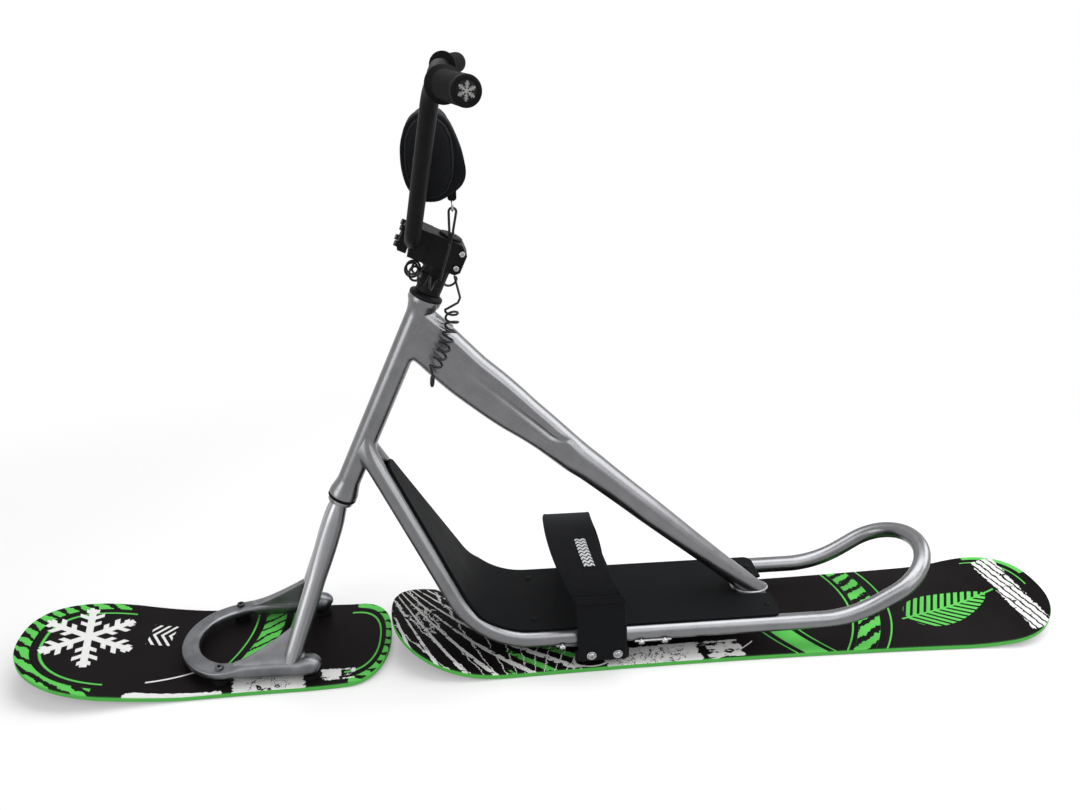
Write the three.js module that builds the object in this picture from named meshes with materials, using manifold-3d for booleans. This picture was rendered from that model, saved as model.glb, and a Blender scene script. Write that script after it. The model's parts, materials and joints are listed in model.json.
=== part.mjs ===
// A snow scooter: a welded frame on a long rear board, and a steered fork on a short front board.
// Millimetres, +Z up. The nose points along -X and the rider's left hand is towards -Y.
// The origin is on the ground, midway between the nose of the front board and the tail of the rear one.
import * as THREE from "three";
import { mergeVertices } from "three/addons/utils/BufferGeometryUtils.js";
import Module from "manifold-3d";

const wasm = await Module();
wasm.setup();

const degree = Math.PI / 180;
const fullTurn = 360 * degree;
const halfTurn = fullTurn / 2;
const quarterTurn = fullTurn / 4;
const eighthTurn = fullTurn / 8;

// Fits that pieces share
const fit = 0.3;
const overrun = 20;
const weldTolerance = 1e-4;

// Boards
const frontTailX = -281;
const frontBoardLength = 591;
const rearBoardLength = 1149;
const boardGap = 4;
const frontBoardThickness = 9;
const rearBoardThickness = 9;
const frontNoseHalfWidth = 117;
const frontWaistHalfWidth = 108;
const frontTailHalfWidth = 105;
const frontNoseLength = 150;
const frontTailLength = 72;
const frontFlatAhead = 45.8;
const frontNoseRise = 52;
const frontTailCurve = 80;
const frontTailRise = 9;
const rearNoseHalfWidth = 112;
const rearWaistHalfWidth = 106;
const rearTailHalfWidth = 120;
const rearNoseLength = 150;
const rearTailLength = 105;
const rearNoseCurve = 195;
const rearNoseRise = 60;
const rearTailCurve = 192;
const rearTailRise = 36;
const insertHoleDepth = 6;
const frontNosePower = 1.5;
const frontTailPower = 1.6;
const rearNosePower = 2;
const rearTailPower = 2;
const frontWaistShare = 0.8;
const rearWaistShare = 0.4;
const boardRoundPower = 2.4;
const boardStationGap = 9;
const boardEndTurns = [2, 9, 18, 29, 41, 54, 69, 90].map((angle) => angle * degree);
const boardCurveShares = [0.2, 0.45, 0.6, 0.75, 0.88, 1];
const boardMidShares = [0.25, 0.5, 0.75];

// Steering axis and head tube
const headAngle = 65.5 * degree;
const axisToFrontTail = 190;
const forkLength = 321.2;
const headTubeLength = 348;
const boreClearance = 1.3;
const headTubeWall = 2.4;
const lowerCupWall = 2.5;
const upperCupWall = 4.5;
const flareLength = 28;
const flareRim = 7;
const bearingRadius = 20;
const bearingHeight = 8;
const steererRadius = 14.3;
const steererWall = 2.3;
const sealHeight = 5;
const coverOverlap = 0.3;
const coverHeight = 8;
const spacerRadius = 18.5;

// Stem and top cap
const stemBottom = 51;
const stemHeight = 44;
const stemWidth = 52;
const stemReach = 49;
const stemRear = 30;
const stemCorner = 6;
const clampSlot = 3;
const facePlateDepth = 17;
const facePlateWidth = 50;
const barBoreHeight = 26;
const pinchSlot = 2.4;
const pinchBoltSetback = 22;
const pinchBoltRadius = 4.2;
const pinchBoltProud = 2;
const pinchBoltInset = 11;
const topCapRadius = 17;
const topCapHeight = 4;
const topCapBoltRadius = 5;
const topCapBoltHeight = 2;

// Handlebar and grips
const barRadius = 11.1;
const barWall = 2;
const barHalfWidth = 324;
const barRise = 212.7;
const barKneeY = 165;
const gripStartGap = 55;
const barKneeReach = 38.1;
const barEndReach = 73.6;
const barFootY = 56;
const barKneeBend = 52;
const barFootBend = 40;
const crossbarRadius = 9.5;
const crossbarBore = 7.5;
const crossbarShare = 0.5486;
const gripRadius = 16.2;
const gripFlangeRadius = 21.3;
const gripFlangeThickness = 4;
const gripEndThickness = 4;
const gripRibDepth = 1.2;
const gripRibs = 5;

// Crossbar pad and leash cuff
const padHalfDepth = 33;
const padHalfHeight = 53;
const padRoundPower = 2.3;
const padEndShare = 0.86;
const padDrop = 2;
const padEndGap = 7.6;
const padSetback = 8;
const padSides = 24;
const cuffThickness = 3.5;
const cuffWidth = 42;
const cuffInset = 30;
const cuffBulge = 11;
const cuffBulgeTurn = -18 * degree;
const cuffBulgeSpread = 26 * degree;
const tabThickness = 4;
const tabHalfWidth = 6;
const tabHoleRadius = 2.8;
const ringBehindPad = 27.2;
const ringBelowPad = 63;
const ringBeside = 10;
const ringRadius = 7;
const ringWire = 1.5;
const ringRestShare = 0.75;

// Leash cord
const cordRadius = 1.75;
const curlRadius = 9.25;
const curlPitchUpper = 14.5;
const curlPitchLower = 13;
const eyeHalfWidth = 5;
const eyeHeight = 34;
const eyeLean = 3;
const eyeNeckShare = 0.15;
const crimpRadius = 3.2;
const crimpLength = 14;
const crimpLean = 2.5;
const sleeveRadius = 3.4;
const sleeveTipRadius = 2;
const sleeveLength = 17;
const hangDrop = 2;
const hangSetback = 41;
const hangTaper = 1.2;
const windRise = 31;
const windRadius = 33.5;
const windFrom = -78 * degree;
const windTo = -330 * degree;
const coilMeetRise = 17.5;
const coilMeetBehind = 45;
const coilMeetLeft = 12;
const coilTail = 4;
const leadDrop = 3.5;
const leadShares = [0.3, 0.65];
const sleeveSetback = 4;
const sleeveLean = 1.5;
const sleeveShares = [0, 0.15, 0.6, 1];
const hangOffsets = [
  [0, -5, 0],
  [0, -21, -15],
  [-8, -33, -37],
  [-17, -34.5, -58],
  [-27, -35, -77],
];

// Fork
const seatRadius = 20;
const seatHeight = 7;
const neckRadius = 16;
const neckLength = 36;
const bladeRadius = 14.5;
const bladeWall = 2.5;
const bladeTopY = 12;
const bladeTopDrop = 27;
const bladeFootToTail = 155;
const steererTopGap = 2;

// Front shoe
const legHalfSpacing = 83;
const legRadius = 14;
const legZ = 31;
const bandThickness = 14;
const bandAhead = 88;
const legBehind = 49;
const legCornerShare = 0.96;
const bandCornerShare = 0.5;
const bandDrop = 3.5;
const toeBoltAhead = 20.2;
const heelBoltInset = 16.6;
const boltHeadRadius = 6.5;
const boltHeadHeight = 7;
const boltShankRadius = 4;
const boltHeadRise = 10;
const boltTipGap = 0.4;
const frontDamperRadius = 13;
const gussetThickness = 9;
const frontGussetLength = 90;
const frontGussetHeight = 69;
const rearGussetLength = 26;
const rearGussetHeight = 30;

// Rails, down tubes and tail hoop
const railRadius = 14;
const railWall = 2.2;
const railHalfSpacing = 84;
const railZ = 56;
const railCornerX = -130;
const hoopCornerX = 492;
const hoopReach = 68;
const hoopAngle = 33 * degree;
const downTubeRise = 82.36;
const downTubeBehind = 15;
const downTubeY = 14;
const railBend = 140;
const hoopBend = 180;

// Top tube
const topTubeWall = 2;
const topTubeFootInset = 24;
const topTubeDrop = 70;
const topTubeRadius = 19;
const upperTubeRise = 39;
const creaseShare = 0.24;
const topTubeSides = 16;
const waistSteepness = 3;

// Deck and its cross bars
const deckThickness = 4;
const deckHalfWidth = 86;
const deckTopHalfWidth = 17;
const deckTopSetback = 27;
const deckTailX = 367;
const deckCorner = 14;
const notchReachShare = 1.73;
const notchGap = 4.13;
const notchHalfWidth = 25;
const deckScrewSetback = 3.35;
const deckScrewRearInset = 15;
const deckScrewFrontY = 58;
const deckScrewRearY = 56;
const deckScrewRadius = 4.5;
const deckScrewHeight = 2.2;
const deckScrewShank = 2.5;
const deckScrewDepth = 7;
const deckScrewTopShare = 0.7;
const crossBarThickness = 5;
const frontCrossBarWidth = 20;
const rearCrossBarWidth = 63;
const rearCrossBarInset = 4;

// Rear board mounts
const frontMountX = 19.5;
const mountSpacing = 129;
const mountLength = 60;
const mountThickness = 3;
const mountFloorZ = 18;
const mountFloorHalfWidth = 58;
const mountEarAngle = 26 * degree;
const railBoltAngle = 34 * degree;
const railBoltSpacing = 39;
const railBoltRadius = 6;
const railBoltHeight = 4;
const railBoltShank = 3;
const railBoltLength = 16;
const railBoltDomeShares = [[1, 0], [0.8, 0.75], [0.45, 1]];
const rearDamperRadius = 16;
const rearDamperY = 40;
const studRadius = 4;
const studNutRadius = 7;
const studNutHeight = 5;

// Foot strap
const strapX = 64;
const strapLean = 44;
const strapLeanPower = 0.9;
const leftSpringLean = 6;
const rightSpringLean = 21;
const springMidShare = 0.4;
const strapWidth = 80;
const strapThickness = 3.5;
const strapBoltGap = 2.89;
const strapFootDrop = 34;
const strapUpright = 119;
const strapRise = 63;
const strapStep = 9 * degree;
const strapNearEnd = 12 * strapStep;
const flapHinge = 13 * strapStep;
const flapWidth = 81;
const flapTip = 5;
const bracketThickness = 3;
const bracketDrop = 35;
const bracketShoulder = 1.2;
const bracketHalfLength = 44;
const frontFlangeGap = 6.5;
const rearFlangeGap = 10.5;
const bracketFlange = 30;
const strapScrewAhead = 18;
const strapScrewBehind = 25;
const strapScrewDrop = 23;
const strapScrewRadius = 5.5;
const strapScrewTopShare = 0.75;
const strapScrewDepth = 12.5;
const strapScrewHead = 2.6;
const strapScrewShank = 2.5;
const washerRadius = 7.9;
const washerThickness = 1.2;

// How finely round forms are cut
const tubeSides = 12;
const boreSides = 10;
const ringSides = 24;
const smallSides = 10;
const bendStep = 15 * degree;
const curlSteps = 8;
const cordSides = 5;
const holeSides = 8;
const hoopSteps = 12;
const bandSteps = 12;
const ringSteps = 20;

// Shapes given as shares of a driving size

// The rounded heel of a shoe leg: distance from its end, half width and half height, in leg radii.
const heelShares = [
  [0, 0.357, 0.357],
  [0.286, 0.786, 0.75],
  [0.786, 1.107, 0.893],
  [1.571, 1.214, 1],
  [3, 1.15, 1],
];

// How a leg thins into the band: distance behind the band's centre, half width and half height, in leg radii.
const toeShares = [
  [2, 1, 1],
  [0.7, 1, 0.929],
];

// The crossbar pad's ends: place along its half length, and girth.
const padCrownShares = [
  [0.5, 1],
  [0.8, (1 + padEndShare) / 2],
  [0.96, padEndShare],
  [1, 0.55],
];

// The hollow edge of a shoe web: shares of its reach and of its height.
const webEdgeShares = [
  [0.66, 0.25],
  [0.36, 0.53],
];

// Stations of the top tube from the deck to the head tube: how far along, how far the lower tube's centre
// sags below the straight line in tube radii, and shares of the radius, the upper tube's rise and the crease.
const topTubeShares = [
  { along: -0.03, sag: 0, girth: 0.92, rise: 0, crease: 0 },
  { along: 0.12, sag: -0.079, girth: 0.95, rise: 0, crease: 0 },
  { along: 0.2, sag: -0.121, girth: 1.02, rise: 0, crease: 0 },
  { along: 0.331, sag: -0.132, girth: 1.12, rise: 0.05, crease: 0 },
  { along: 0.423, sag: -0.174, girth: 1.15, rise: 0.07, crease: 0 },
  { along: 0.511, sag: -0.2, girth: 1.2, rise: 0.11, crease: 0 },
  { along: 0.56, sag: -0.095, girth: 1.22, rise: 0.19, crease: 0.1 },
  { along: 0.6, sag: 0, girth: 1.12, rise: 0.34, crease: 0.55 },
  { along: 0.645, sag: 0.095, girth: 1.02, rise: 0.51, crease: 1 },
  { along: 0.69, sag: 0.221, girth: 1, rise: 0.65, crease: 1 },
  { along: 0.735, sag: 0.389, girth: 1, rise: 0.81, crease: 0.95 },
  { along: 0.79, sag: 0.463, girth: 1, rise: 0.92, crease: 0.85 },
  { along: 0.855, sag: 0.453, girth: 1, rise: 0.96, crease: 0.7 },
  { along: 0.913, sag: 0.289, girth: 1, rise: 1, crease: 0.6 },
  { along: 0.95, sag: 0.121, girth: 1, rise: 1, crease: 0.55 },
  { along: 1, sag: 0, girth: 1, rise: 1, crease: 0.5 },
];

// Places worked out from the driving dimensions
const noseX = frontTailX - frontBoardLength;
const rearNoseX = frontTailX + boardGap;
const rearTailX = rearNoseX + rearBoardLength;
const axis = new THREE.Vector3(Math.cos(headAngle), 0, Math.sin(headAngle));
const back = new THREE.Vector3(Math.sin(headAngle), 0, -Math.cos(headAngle));
const left = new THREE.Vector3(0, -1, 0);
const headBase = new THREE.Vector3(frontTailX - axisToFrontTail, 0, 0).addScaledVector(axis, forkLength);
const steererBore = steererRadius - steererWall;
const headTubeBore = steererRadius + boreClearance;
const headTubeRadius = headTubeBore + headTubeWall;
const lowerFlareRadius = bearingRadius + lowerCupWall;
const upperFlareRadius = bearingRadius + upperCupWall;
const sealRadius = lowerFlareRadius;
const coverRadius = upperFlareRadius + coverOverlap;
const stemBase = headTubeLength + stemBottom;
const stemTop = stemBase + stemHeight;
const barClamp = onAxis(stemBase + barBoreHeight, -stemReach, 0);
const bladeFootX = frontTailX - bladeFootToTail;
const bandCentreX = bladeFootX - bandAhead;
const legRearX = bladeFootX + legBehind;
const frontBoltX = [bandCentreX - toeBoltAhead, legRearX - heelBoltInset];
const frontNoseCurve = frontBoltX[0] - frontFlatAhead - noseX;
const boltHeadTopZ = legZ + boltHeadRise;
const boltTipZ = frontBoardThickness - insertHoleDepth + boltTipGap;
const studTipZ = rearBoardThickness - insertHoleDepth + boltTipGap;
const hoopCentreX = hoopCornerX + hoopReach;
const topTubeFootX = deckTailX - topTubeFootInset;
const notchFrontX = topTubeFootX - topTubeRadius * notchReachShare - notchGap;
const deckScrewRearX = deckTailX - deckScrewRearInset;
const rearCrossBarRearX = deckTailX - rearCrossBarInset;
const rearCrossBarFrontX = rearCrossBarRearX - rearCrossBarWidth;
const mountX = [frontMountX, frontMountX + mountSpacing];
const railBoltReach = (railRadius + mountThickness + railBoltHeight) * Math.cos(railBoltAngle);
const strapHalfSpan = railHalfSpacing + railBoltReach + strapBoltGap;
const strapFootZ = railZ - strapFootDrop;
const strapSpringZ = strapFootZ + strapUpright;
const strapScrewX = [strapX - strapScrewAhead, strapX + strapScrewBehind];
const strapScrewZ = railZ - strapScrewDrop;
const bracketLowZ = railZ - bracketDrop;
const bracketFrontX = strapX - bracketHalfLength;
const bracketRearX = strapX + bracketHalfLength;
const barTopZ = barClamp.z + barRise;
const gripInnerEnd = barKneeY + gripStartGap;
const crossbarZ = barClamp.z + barRise * crossbarShare;
const topTubeJoin = headTubeLength - topTubeDrop;

// A point at a height along the steering axis, a distance behind it, and a distance to the right.
function onAxis(along, behind, across) {
  const onLine = headBase.clone().addScaledVector(axis, along);
  return onLine.addScaledVector(back, behind).addScaledVector(left, -across);
}

function point(x, y, z) {
  return new THREE.Vector3(x, y, z);
}

// Solids

function solid(geometry) {
  const bare = geometry.clone();
  bare.deleteAttribute("normal");
  bare.deleteAttribute("uv");
  const merged = mergeVertices(bare, weldTolerance);
  const mesh = new wasm.Mesh({
    numProp: 3,
    vertProperties: merged.attributes.position.array,
    triVerts: new Uint32Array(merged.index.array),
  });
  return new wasm.Manifold(mesh);
}

function surface(made) {
  const mesh = made.getMesh();
  const geometry = new THREE.BufferGeometry();
  geometry.setAttribute("position", new THREE.BufferAttribute(mesh.vertProperties, 3));
  geometry.setIndex(new THREE.BufferAttribute(mesh.triVerts, 1));
  return geometry;
}

function join(...geometries) {
  return surface(geometries.map(solid).reduce((a, b) => a.add(b)));
}

function cut(base, ...tools) {
  return surface(tools.map(solid).reduce((a, b) => a.subtract(b), solid(base)));
}

function moved(geometry, x, y, z) {
  return geometry.clone().translate(x, y, z);
}

function indexOf(geometry) {
  if (geometry.index) return Array.from(geometry.index.array);
  return [...Array(geometry.attributes.position.count).keys()];
}

function flipFaces(index) {
  for (let i = 0; i < index.length; i += 3) [index[i + 1], index[i + 2]] = [index[i + 2], index[i + 1]];
}

function mirrored(geometry) {
  const copy = geometry.clone().scale(1, -1, 1);
  const index = indexOf(copy);
  flipFaces(index);
  copy.setIndex(index);
  return copy;
}

function box(x0, x1, y0, y1, z0, z1) {
  const block = new THREE.BoxGeometry(x1 - x0, y1 - y0, z1 - z0);
  return moved(block, (x0 + x1) / 2, (y0 + y1) / 2, (z0 + z1) / 2);
}

// A piece turned about local Z. The profile lists [radius, height] and closes on itself or on the axis.
function turned(profile, sides = ringSides) {
  const points = profile.map(([radius, height]) => new THREE.Vector2(radius, height));
  return outward(new THREE.LatheGeometry(points, sides).rotateX(quarterTurn));
}

function disc(radius, z0, z1, sides = smallSides) {
  return turned([[0, z0], [radius, z0], [radius, z1], [0, z1]], sides);
}

function collar(outer, inner, z0, z1, sides = ringSides) {
  return turned([[inner, z0], [outer, z0], [outer, z1], [inner, z1], [inner, z0]], sides);
}

// Turns a piece made about Z so that its Z runs along a direction, with its origin at a place.
function aimed(geometry, place, direction) {
  const turn = new THREE.Quaternion().setFromUnitVectors(point(0, 0, 1), direction.clone().normalize());
  const copy = geometry.clone().applyQuaternion(turn);
  return moved(copy, place.x, place.y, place.z);
}

// Puts a piece made in the head's own frame (X behind the axis, Z along it) into place.
const headFrame = new THREE.Matrix4().makeBasis(back, point(0, 1, 0), axis).setPosition(headBase);
function inHead(geometry) {
  return geometry.clone().applyMatrix4(headFrame);
}

function signedVolume(positions, index) {
  let sum = 0;
  const [a, b, c] = [new THREE.Vector3(), new THREE.Vector3(), new THREE.Vector3()];
  for (let i = 0; i < index.length; i += 3) {
    a.fromArray(positions, 3 * index[i]);
    b.fromArray(positions, 3 * index[i + 1]);
    c.fromArray(positions, 3 * index[i + 2]);
    sum += a.dot(b.cross(c));
  }
  return sum;
}

// Faces the right way out, whichever way round the outline was drawn.
function outward(geometry) {
  const positions = geometry.attributes.position.array;
  const index = indexOf(geometry);
  if (signedVolume(positions, index) < 0) flipFaces(index);
  geometry.setIndex(index);
  return geometry;
}

// A closed skin over rings of points, all with the same count, capped at both ends.
function loft(rings) {
  const count = rings[0].length;
  const positions = rings.flat().flatMap((p) => [p.x, p.y, p.z]);
  const index = [];
  for (let r = 0; r + 1 < rings.length; r++) {
    for (let i = 0; i < count; i++) {
      const [a, b] = [r * count + i, r * count + ((i + 1) % count)];
      index.push(a, b, b + count, a, b + count, a + count);
    }
  }
  for (const [r, flip] of [[0, true], [rings.length - 1, false]]) {
    const centre = rings[r].reduce((sum, p) => sum.add(p), point(0, 0, 0)).divideScalar(count);
    const hub = positions.length / 3;
    positions.push(centre.x, centre.y, centre.z);
    for (let i = 0; i < count; i++) {
      const [a, b] = [r * count + i, r * count + ((i + 1) % count)];
      if (flip) index.push(hub, b, a);
      else index.push(hub, a, b);
    }
  }
  const geometry = new THREE.BufferGeometry();
  geometry.setAttribute("position", new THREE.BufferAttribute(new Float32Array(positions), 3));
  geometry.setIndex(index);
  return outward(geometry);
}

// Frames carried along a path without twist.
function framesAlong(path, firstSide) {
  const frames = [];
  let side = firstSide.clone();
  path.forEach((p, i) => {
    const before = path[Math.max(i - 1, 0)];
    const after = path[Math.min(i + 1, path.length - 1)];
    const along = after.clone().sub(before).normalize();
    side = side.clone().addScaledVector(along, -side.dot(along)).normalize();
    frames.push({ p, along, side, up: along.clone().cross(side) });
  });
  return frames;
}

// A section swept along a path. The section gives [across, up] for a station, with as many points at each.
function swept(path, section, firstSide) {
  const rings = framesAlong(path, firstSide).map(({ p, side, up }, i) =>
    section(i, path.length).map(([across, rise]) =>
      p.clone().addScaledVector(side, across).addScaledVector(up, rise),
    ),
  );
  return loft(rings);
}

function roundSection(radius, sides) {
  return [...Array(sides).keys()].map((i) => {
    const turn = (i * fullTurn) / sides;
    return [radius * Math.cos(turn), radius * Math.sin(turn)];
  });
}

function rod(path, radius, sides, firstSide = point(0, 1, 0)) {
  return swept(path, () => roundSection(radius, sides), firstSide);
}

// Both ends of a path pushed on, so that a bore cut along it comes out.
function stretched(path, extra) {
  const [a, b] = [path[0], path[1]];
  const [y, z] = [path[path.length - 2], path[path.length - 1]];
  const first = a.clone().add(a.clone().sub(b).setLength(extra));
  const last = z.clone().add(z.clone().sub(y).setLength(extra));
  return [first, ...path.slice(1, -1), last];
}

// Straight runs between corners, with an arc of its own radius at each inner corner.
function bentPath(corners, radii) {
  const path = [corners[0]];
  for (let i = 1; i + 1 < corners.length; i++) {
    const into = corners[i].clone().sub(corners[i - 1]).normalize();
    const out = corners[i + 1].clone().sub(corners[i]).normalize();
    const turn = into.angleTo(out);
    const run = radii[i - 1] * Math.tan(turn / 2);
    const start = corners[i].clone().addScaledVector(into, -run);
    const inward = out.clone().addScaledVector(into, -out.dot(into)).normalize();
    const centre = start.clone().addScaledVector(inward, radii[i - 1]);
    const steps = Math.max(2, Math.ceil(turn / bendStep));
    for (let k = 0; k <= steps; k++) {
      const a = (k * turn) / steps;
      const p = centre.clone().addScaledVector(inward, -radii[i - 1] * Math.cos(a));
      path.push(p.addScaledVector(into, radii[i - 1] * Math.sin(a)));
    }
  }
  path.push(corners[corners.length - 1]);
  return path;
}

function flippedY(path) {
  return path.map((p) => point(p.x, -p.y, p.z)).reverse();
}

// A rounded rectangle section, [across, up], with three points a corner.
function softBox(halfWidth, halfHeight, corner) {
  const r = Math.min(corner, halfWidth, halfHeight);
  const points = [];
  [[1, 1], [-1, 1], [-1, -1], [1, -1]].forEach(([sx, sy], i) => {
    for (const within of [0, eighthTurn, quarterTurn]) {
      const turn = i * quarterTurn + within;
      points.push([sx * (halfWidth - r) + r * Math.cos(turn), sy * (halfHeight - r) + r * Math.sin(turn)]);
    }
  });
  return points;
}

// A flat outline given as [across, up] pairs, made into a plate that is thick along its third axis.
function plate(outline, thickness) {
  const shape = new THREE.Shape(outline.map(([a, b]) => new THREE.Vector2(a, b)));
  return new THREE.ExtrudeGeometry(shape, { depth: thickness, bevelEnabled: false });
}

// A plate whose outline is in X and Z, from one Y to another.
function uprightPlate(outline, y0, y1) {
  const made = plate(outline, y1 - y0).rotateX(quarterTurn);
  return outward(moved(made, 0, y1, 0));
}

// Finishes
const metal = (color, roughness) => new THREE.MeshStandardMaterial({ color, metalness: 1, roughness });
const dull = (color, roughness) => new THREE.MeshStandardMaterial({ color, metalness: 0, roughness });
const silver = metal(0xb9bbbd, 0.35);
const polished = metal(0xa9acb0, 0.25);
const steel = metal(0xc7c9cc, 0.3);
const blackMetal = dull(0x17181a, 0.45);
const rubber = dull(0x141414, 0.8);
const deckBlack = dull(0x1b1d20, 0.6);
const fabric = dull(0x15161a, 0.95);
const foam = dull(0x101114, 0.9);
const cordBlack = dull(0x0c0c0d, 0.4);
const boardPrint = dull(0x231f20, 0.35);

const model = new THREE.Group();
function add(name, geometry, material) {
  const mesh = new THREE.Mesh(geometry, material);
  mesh.name = name;
  model.add(mesh);
  return mesh;
}

// Boards

// Height of a board's base where it curls up: flat, then a curve that steepens towards the tip.
function curl(distance, length, rise, power) {
  return distance > 0 ? rise * Math.min(distance / length, 1) ** power : 0;
}

// A board from nose to tail. Half widths run nose, waist and tail, with rounded ends.
function board(b) {
  const [noseEnd, tailStart] = [b.nose + b.noseLength, b.tail - b.tailLength];
  const bend = 2 / b.roundPower;
  const ends = boardEndTurns.flatMap((turn) => {
    const share = 1 - Math.cos(turn) ** bend;
    return [b.nose + b.noseLength * share, b.tail - b.tailLength * share];
  });
  const between = [
    ...boardCurveShares.flatMap((share) => [b.nose + b.noseCurve * share, b.tail - b.tailCurve * share]),
    ...boardMidShares.map((share) => noseEnd + (tailStart - noseEnd) * share),
  ].filter((x) => ends.every((end) => Math.abs(x - end) > boardStationGap));
  const stations = [...ends, ...between].sort((p, q) => p - q);
  const rounding = (distance, length) => {
    const share = THREE.MathUtils.clamp(distance / length, 0, 1);
    return (1 - share ** b.roundPower) ** (1 / b.roundPower);
  };
  const rings = stations.map((x) => {
    const narrow = rounding(noseEnd - x, b.noseLength) * rounding(x - tailStart, b.tailLength);
    const along = THREE.MathUtils.clamp((x - noseEnd) / (tailStart - noseEnd), 0, 1);
    const end = along < b.waistShare ? b.noseHalf : b.tailHalf;
    const reach = along < b.waistShare ? b.waistShare : 1 - b.waistShare;
    const half = (b.waistHalf + (end - b.waistHalf) * ((along - b.waistShare) / reach) ** 2) * narrow;
    const base =
      curl(b.nose + b.noseCurve - x, b.noseCurve, b.noseRise, b.nosePower) +
      curl(x - (b.tail - b.tailCurve), b.tailCurve, b.tailRise, b.tailPower);
    const top = base + b.thickness;
    return [point(x, -half, base), point(x, half, base), point(x, half, top), point(x, -half, top)];
  });
  return loft(rings);
}

function boltHoles(places, radius, z0, z1) {
  return places.map(([x, y]) => moved(disc(radius, z0, z1, smallSides), x, y, 0));
}

const frontBoltPlaces = frontBoltX.flatMap((x) => [[x, -legHalfSpacing], [x, legHalfSpacing]]);
const studPlaces = mountX.flatMap((x) => [[x, -rearDamperY], [x, rearDamperY]]);

function frontBoard() {
  const blank = board({
    nose: noseX,
    tail: frontTailX,
    noseHalf: frontNoseHalfWidth,
    waistHalf: frontWaistHalfWidth,
    tailHalf: frontTailHalfWidth,
    noseLength: frontNoseLength,
    tailLength: frontTailLength,
    noseCurve: frontNoseCurve,
    noseRise: frontNoseRise,
    nosePower: frontNosePower,
    tailCurve: frontTailCurve,
    tailRise: frontTailRise,
    tailPower: frontTailPower,
    waistShare: frontWaistShare,
    roundPower: boardRoundPower,
    thickness: frontBoardThickness,
  });
  const floor = frontBoardThickness - insertHoleDepth;
  const top = frontBoardThickness + overrun;
  return cut(blank, ...boltHoles(frontBoltPlaces, boltShankRadius + fit, floor, top));
}

function rearBoard() {
  const blank = board({
    nose: rearNoseX,
    tail: rearTailX,
    noseHalf: rearNoseHalfWidth,
    waistHalf: rearWaistHalfWidth,
    tailHalf: rearTailHalfWidth,
    noseLength: rearNoseLength,
    tailLength: rearTailLength,
    noseCurve: rearNoseCurve,
    noseRise: rearNoseRise,
    nosePower: rearNosePower,
    tailCurve: rearTailCurve,
    tailRise: rearTailRise,
    tailPower: rearTailPower,
    waistShare: rearWaistShare,
    roundPower: boardRoundPower,
    thickness: rearBoardThickness,
  });
  const floor = rearBoardThickness - insertHoleDepth;
  return cut(blank, ...boltHoles(studPlaces, studRadius + fit, floor, rearBoardThickness + overrun));
}

add("front_board", frontBoard(), boardPrint);
add("rear_board", rearBoard(), boardPrint);

// Head tube, bearings and headset

// The head tube's outside, grown by a clearance, as [radius, height] from the bottom to the top.
function headOutline(grown) {
  return [
    [lowerFlareRadius + grown, -grown],
    [lowerFlareRadius + grown, flareRim],
    [headTubeRadius + grown, flareLength],
    [headTubeRadius + grown, headTubeLength - flareLength],
    [upperFlareRadius + grown, headTubeLength - flareRim],
    [upperFlareRadius + grown, headTubeLength + grown],
  ];
}

function headTube() {
  const seat = bearingHeight + fit;
  const cup = bearingRadius + fit;
  const inside = [
    [cup, headTubeLength],
    [cup, headTubeLength - seat],
    [headTubeBore, headTubeLength - seat],
    [headTubeBore, seat],
    [cup, seat],
    [cup, 0],
  ];
  const outline = headOutline(0);
  return turned([...outline, ...inside, outline[0]]);
}

function headClearance() {
  const outline = headOutline(fit);
  return inHead(turned([[0, outline[0][1]], ...outline, [0, outline[outline.length - 1][1]]]));
}

add("head_tube", inHead(headTube()), silver);
add("lower_bearing", inHead(collar(bearingRadius, steererRadius + fit, fit, bearingHeight)), steel);
add(
  "upper_bearing",
  inHead(collar(bearingRadius, steererRadius + fit, headTubeLength - bearingHeight, headTubeLength - fit)),
  steel,
);
add("lower_seal", inHead(collar(sealRadius, steererRadius + fit, -sealHeight, -fit)), rubber);

function headsetCover() {
  const z0 = headTubeLength + fit;
  const rim = coverHeight / 2;
  const inner = steererRadius + fit;
  return turned([
    [inner, z0],
    [coverRadius, z0],
    [coverRadius, z0 + rim],
    [spacerRadius + fit, z0 + coverHeight],
    [inner, z0 + coverHeight],
    [inner, z0],
  ]);
}

const coverTop = headTubeLength + fit + coverHeight;
add("headset_cover", inHead(headsetCover()), blackMetal);
add("spacer", inHead(collar(spacerRadius, steererRadius + fit, coverTop + fit, stemBase - fit)), blackMetal);

// Fork: steerer, crown and two blades

const legTopZ = legZ + legRadius;
const bladeTop = onAxis(-bladeTopDrop, 0, 0);

function bladePath(side) {
  return [
    point(bladeTop.x, side * bladeTopY, bladeTop.z),
    point(bladeFootX, side * legHalfSpacing, legZ),
  ];
}

// One leg of the shoe, grown by a clearance.
function legRoom(side) {
  const stations = shoeStations();
  const path = stations.map((s) => point(s.x, side * legHalfSpacing, legZ));
  return swept(path, (i) => shoeSection(stations[i].half + fit, stations[i].tall + fit), point(0, 1, 0));
}

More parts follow.
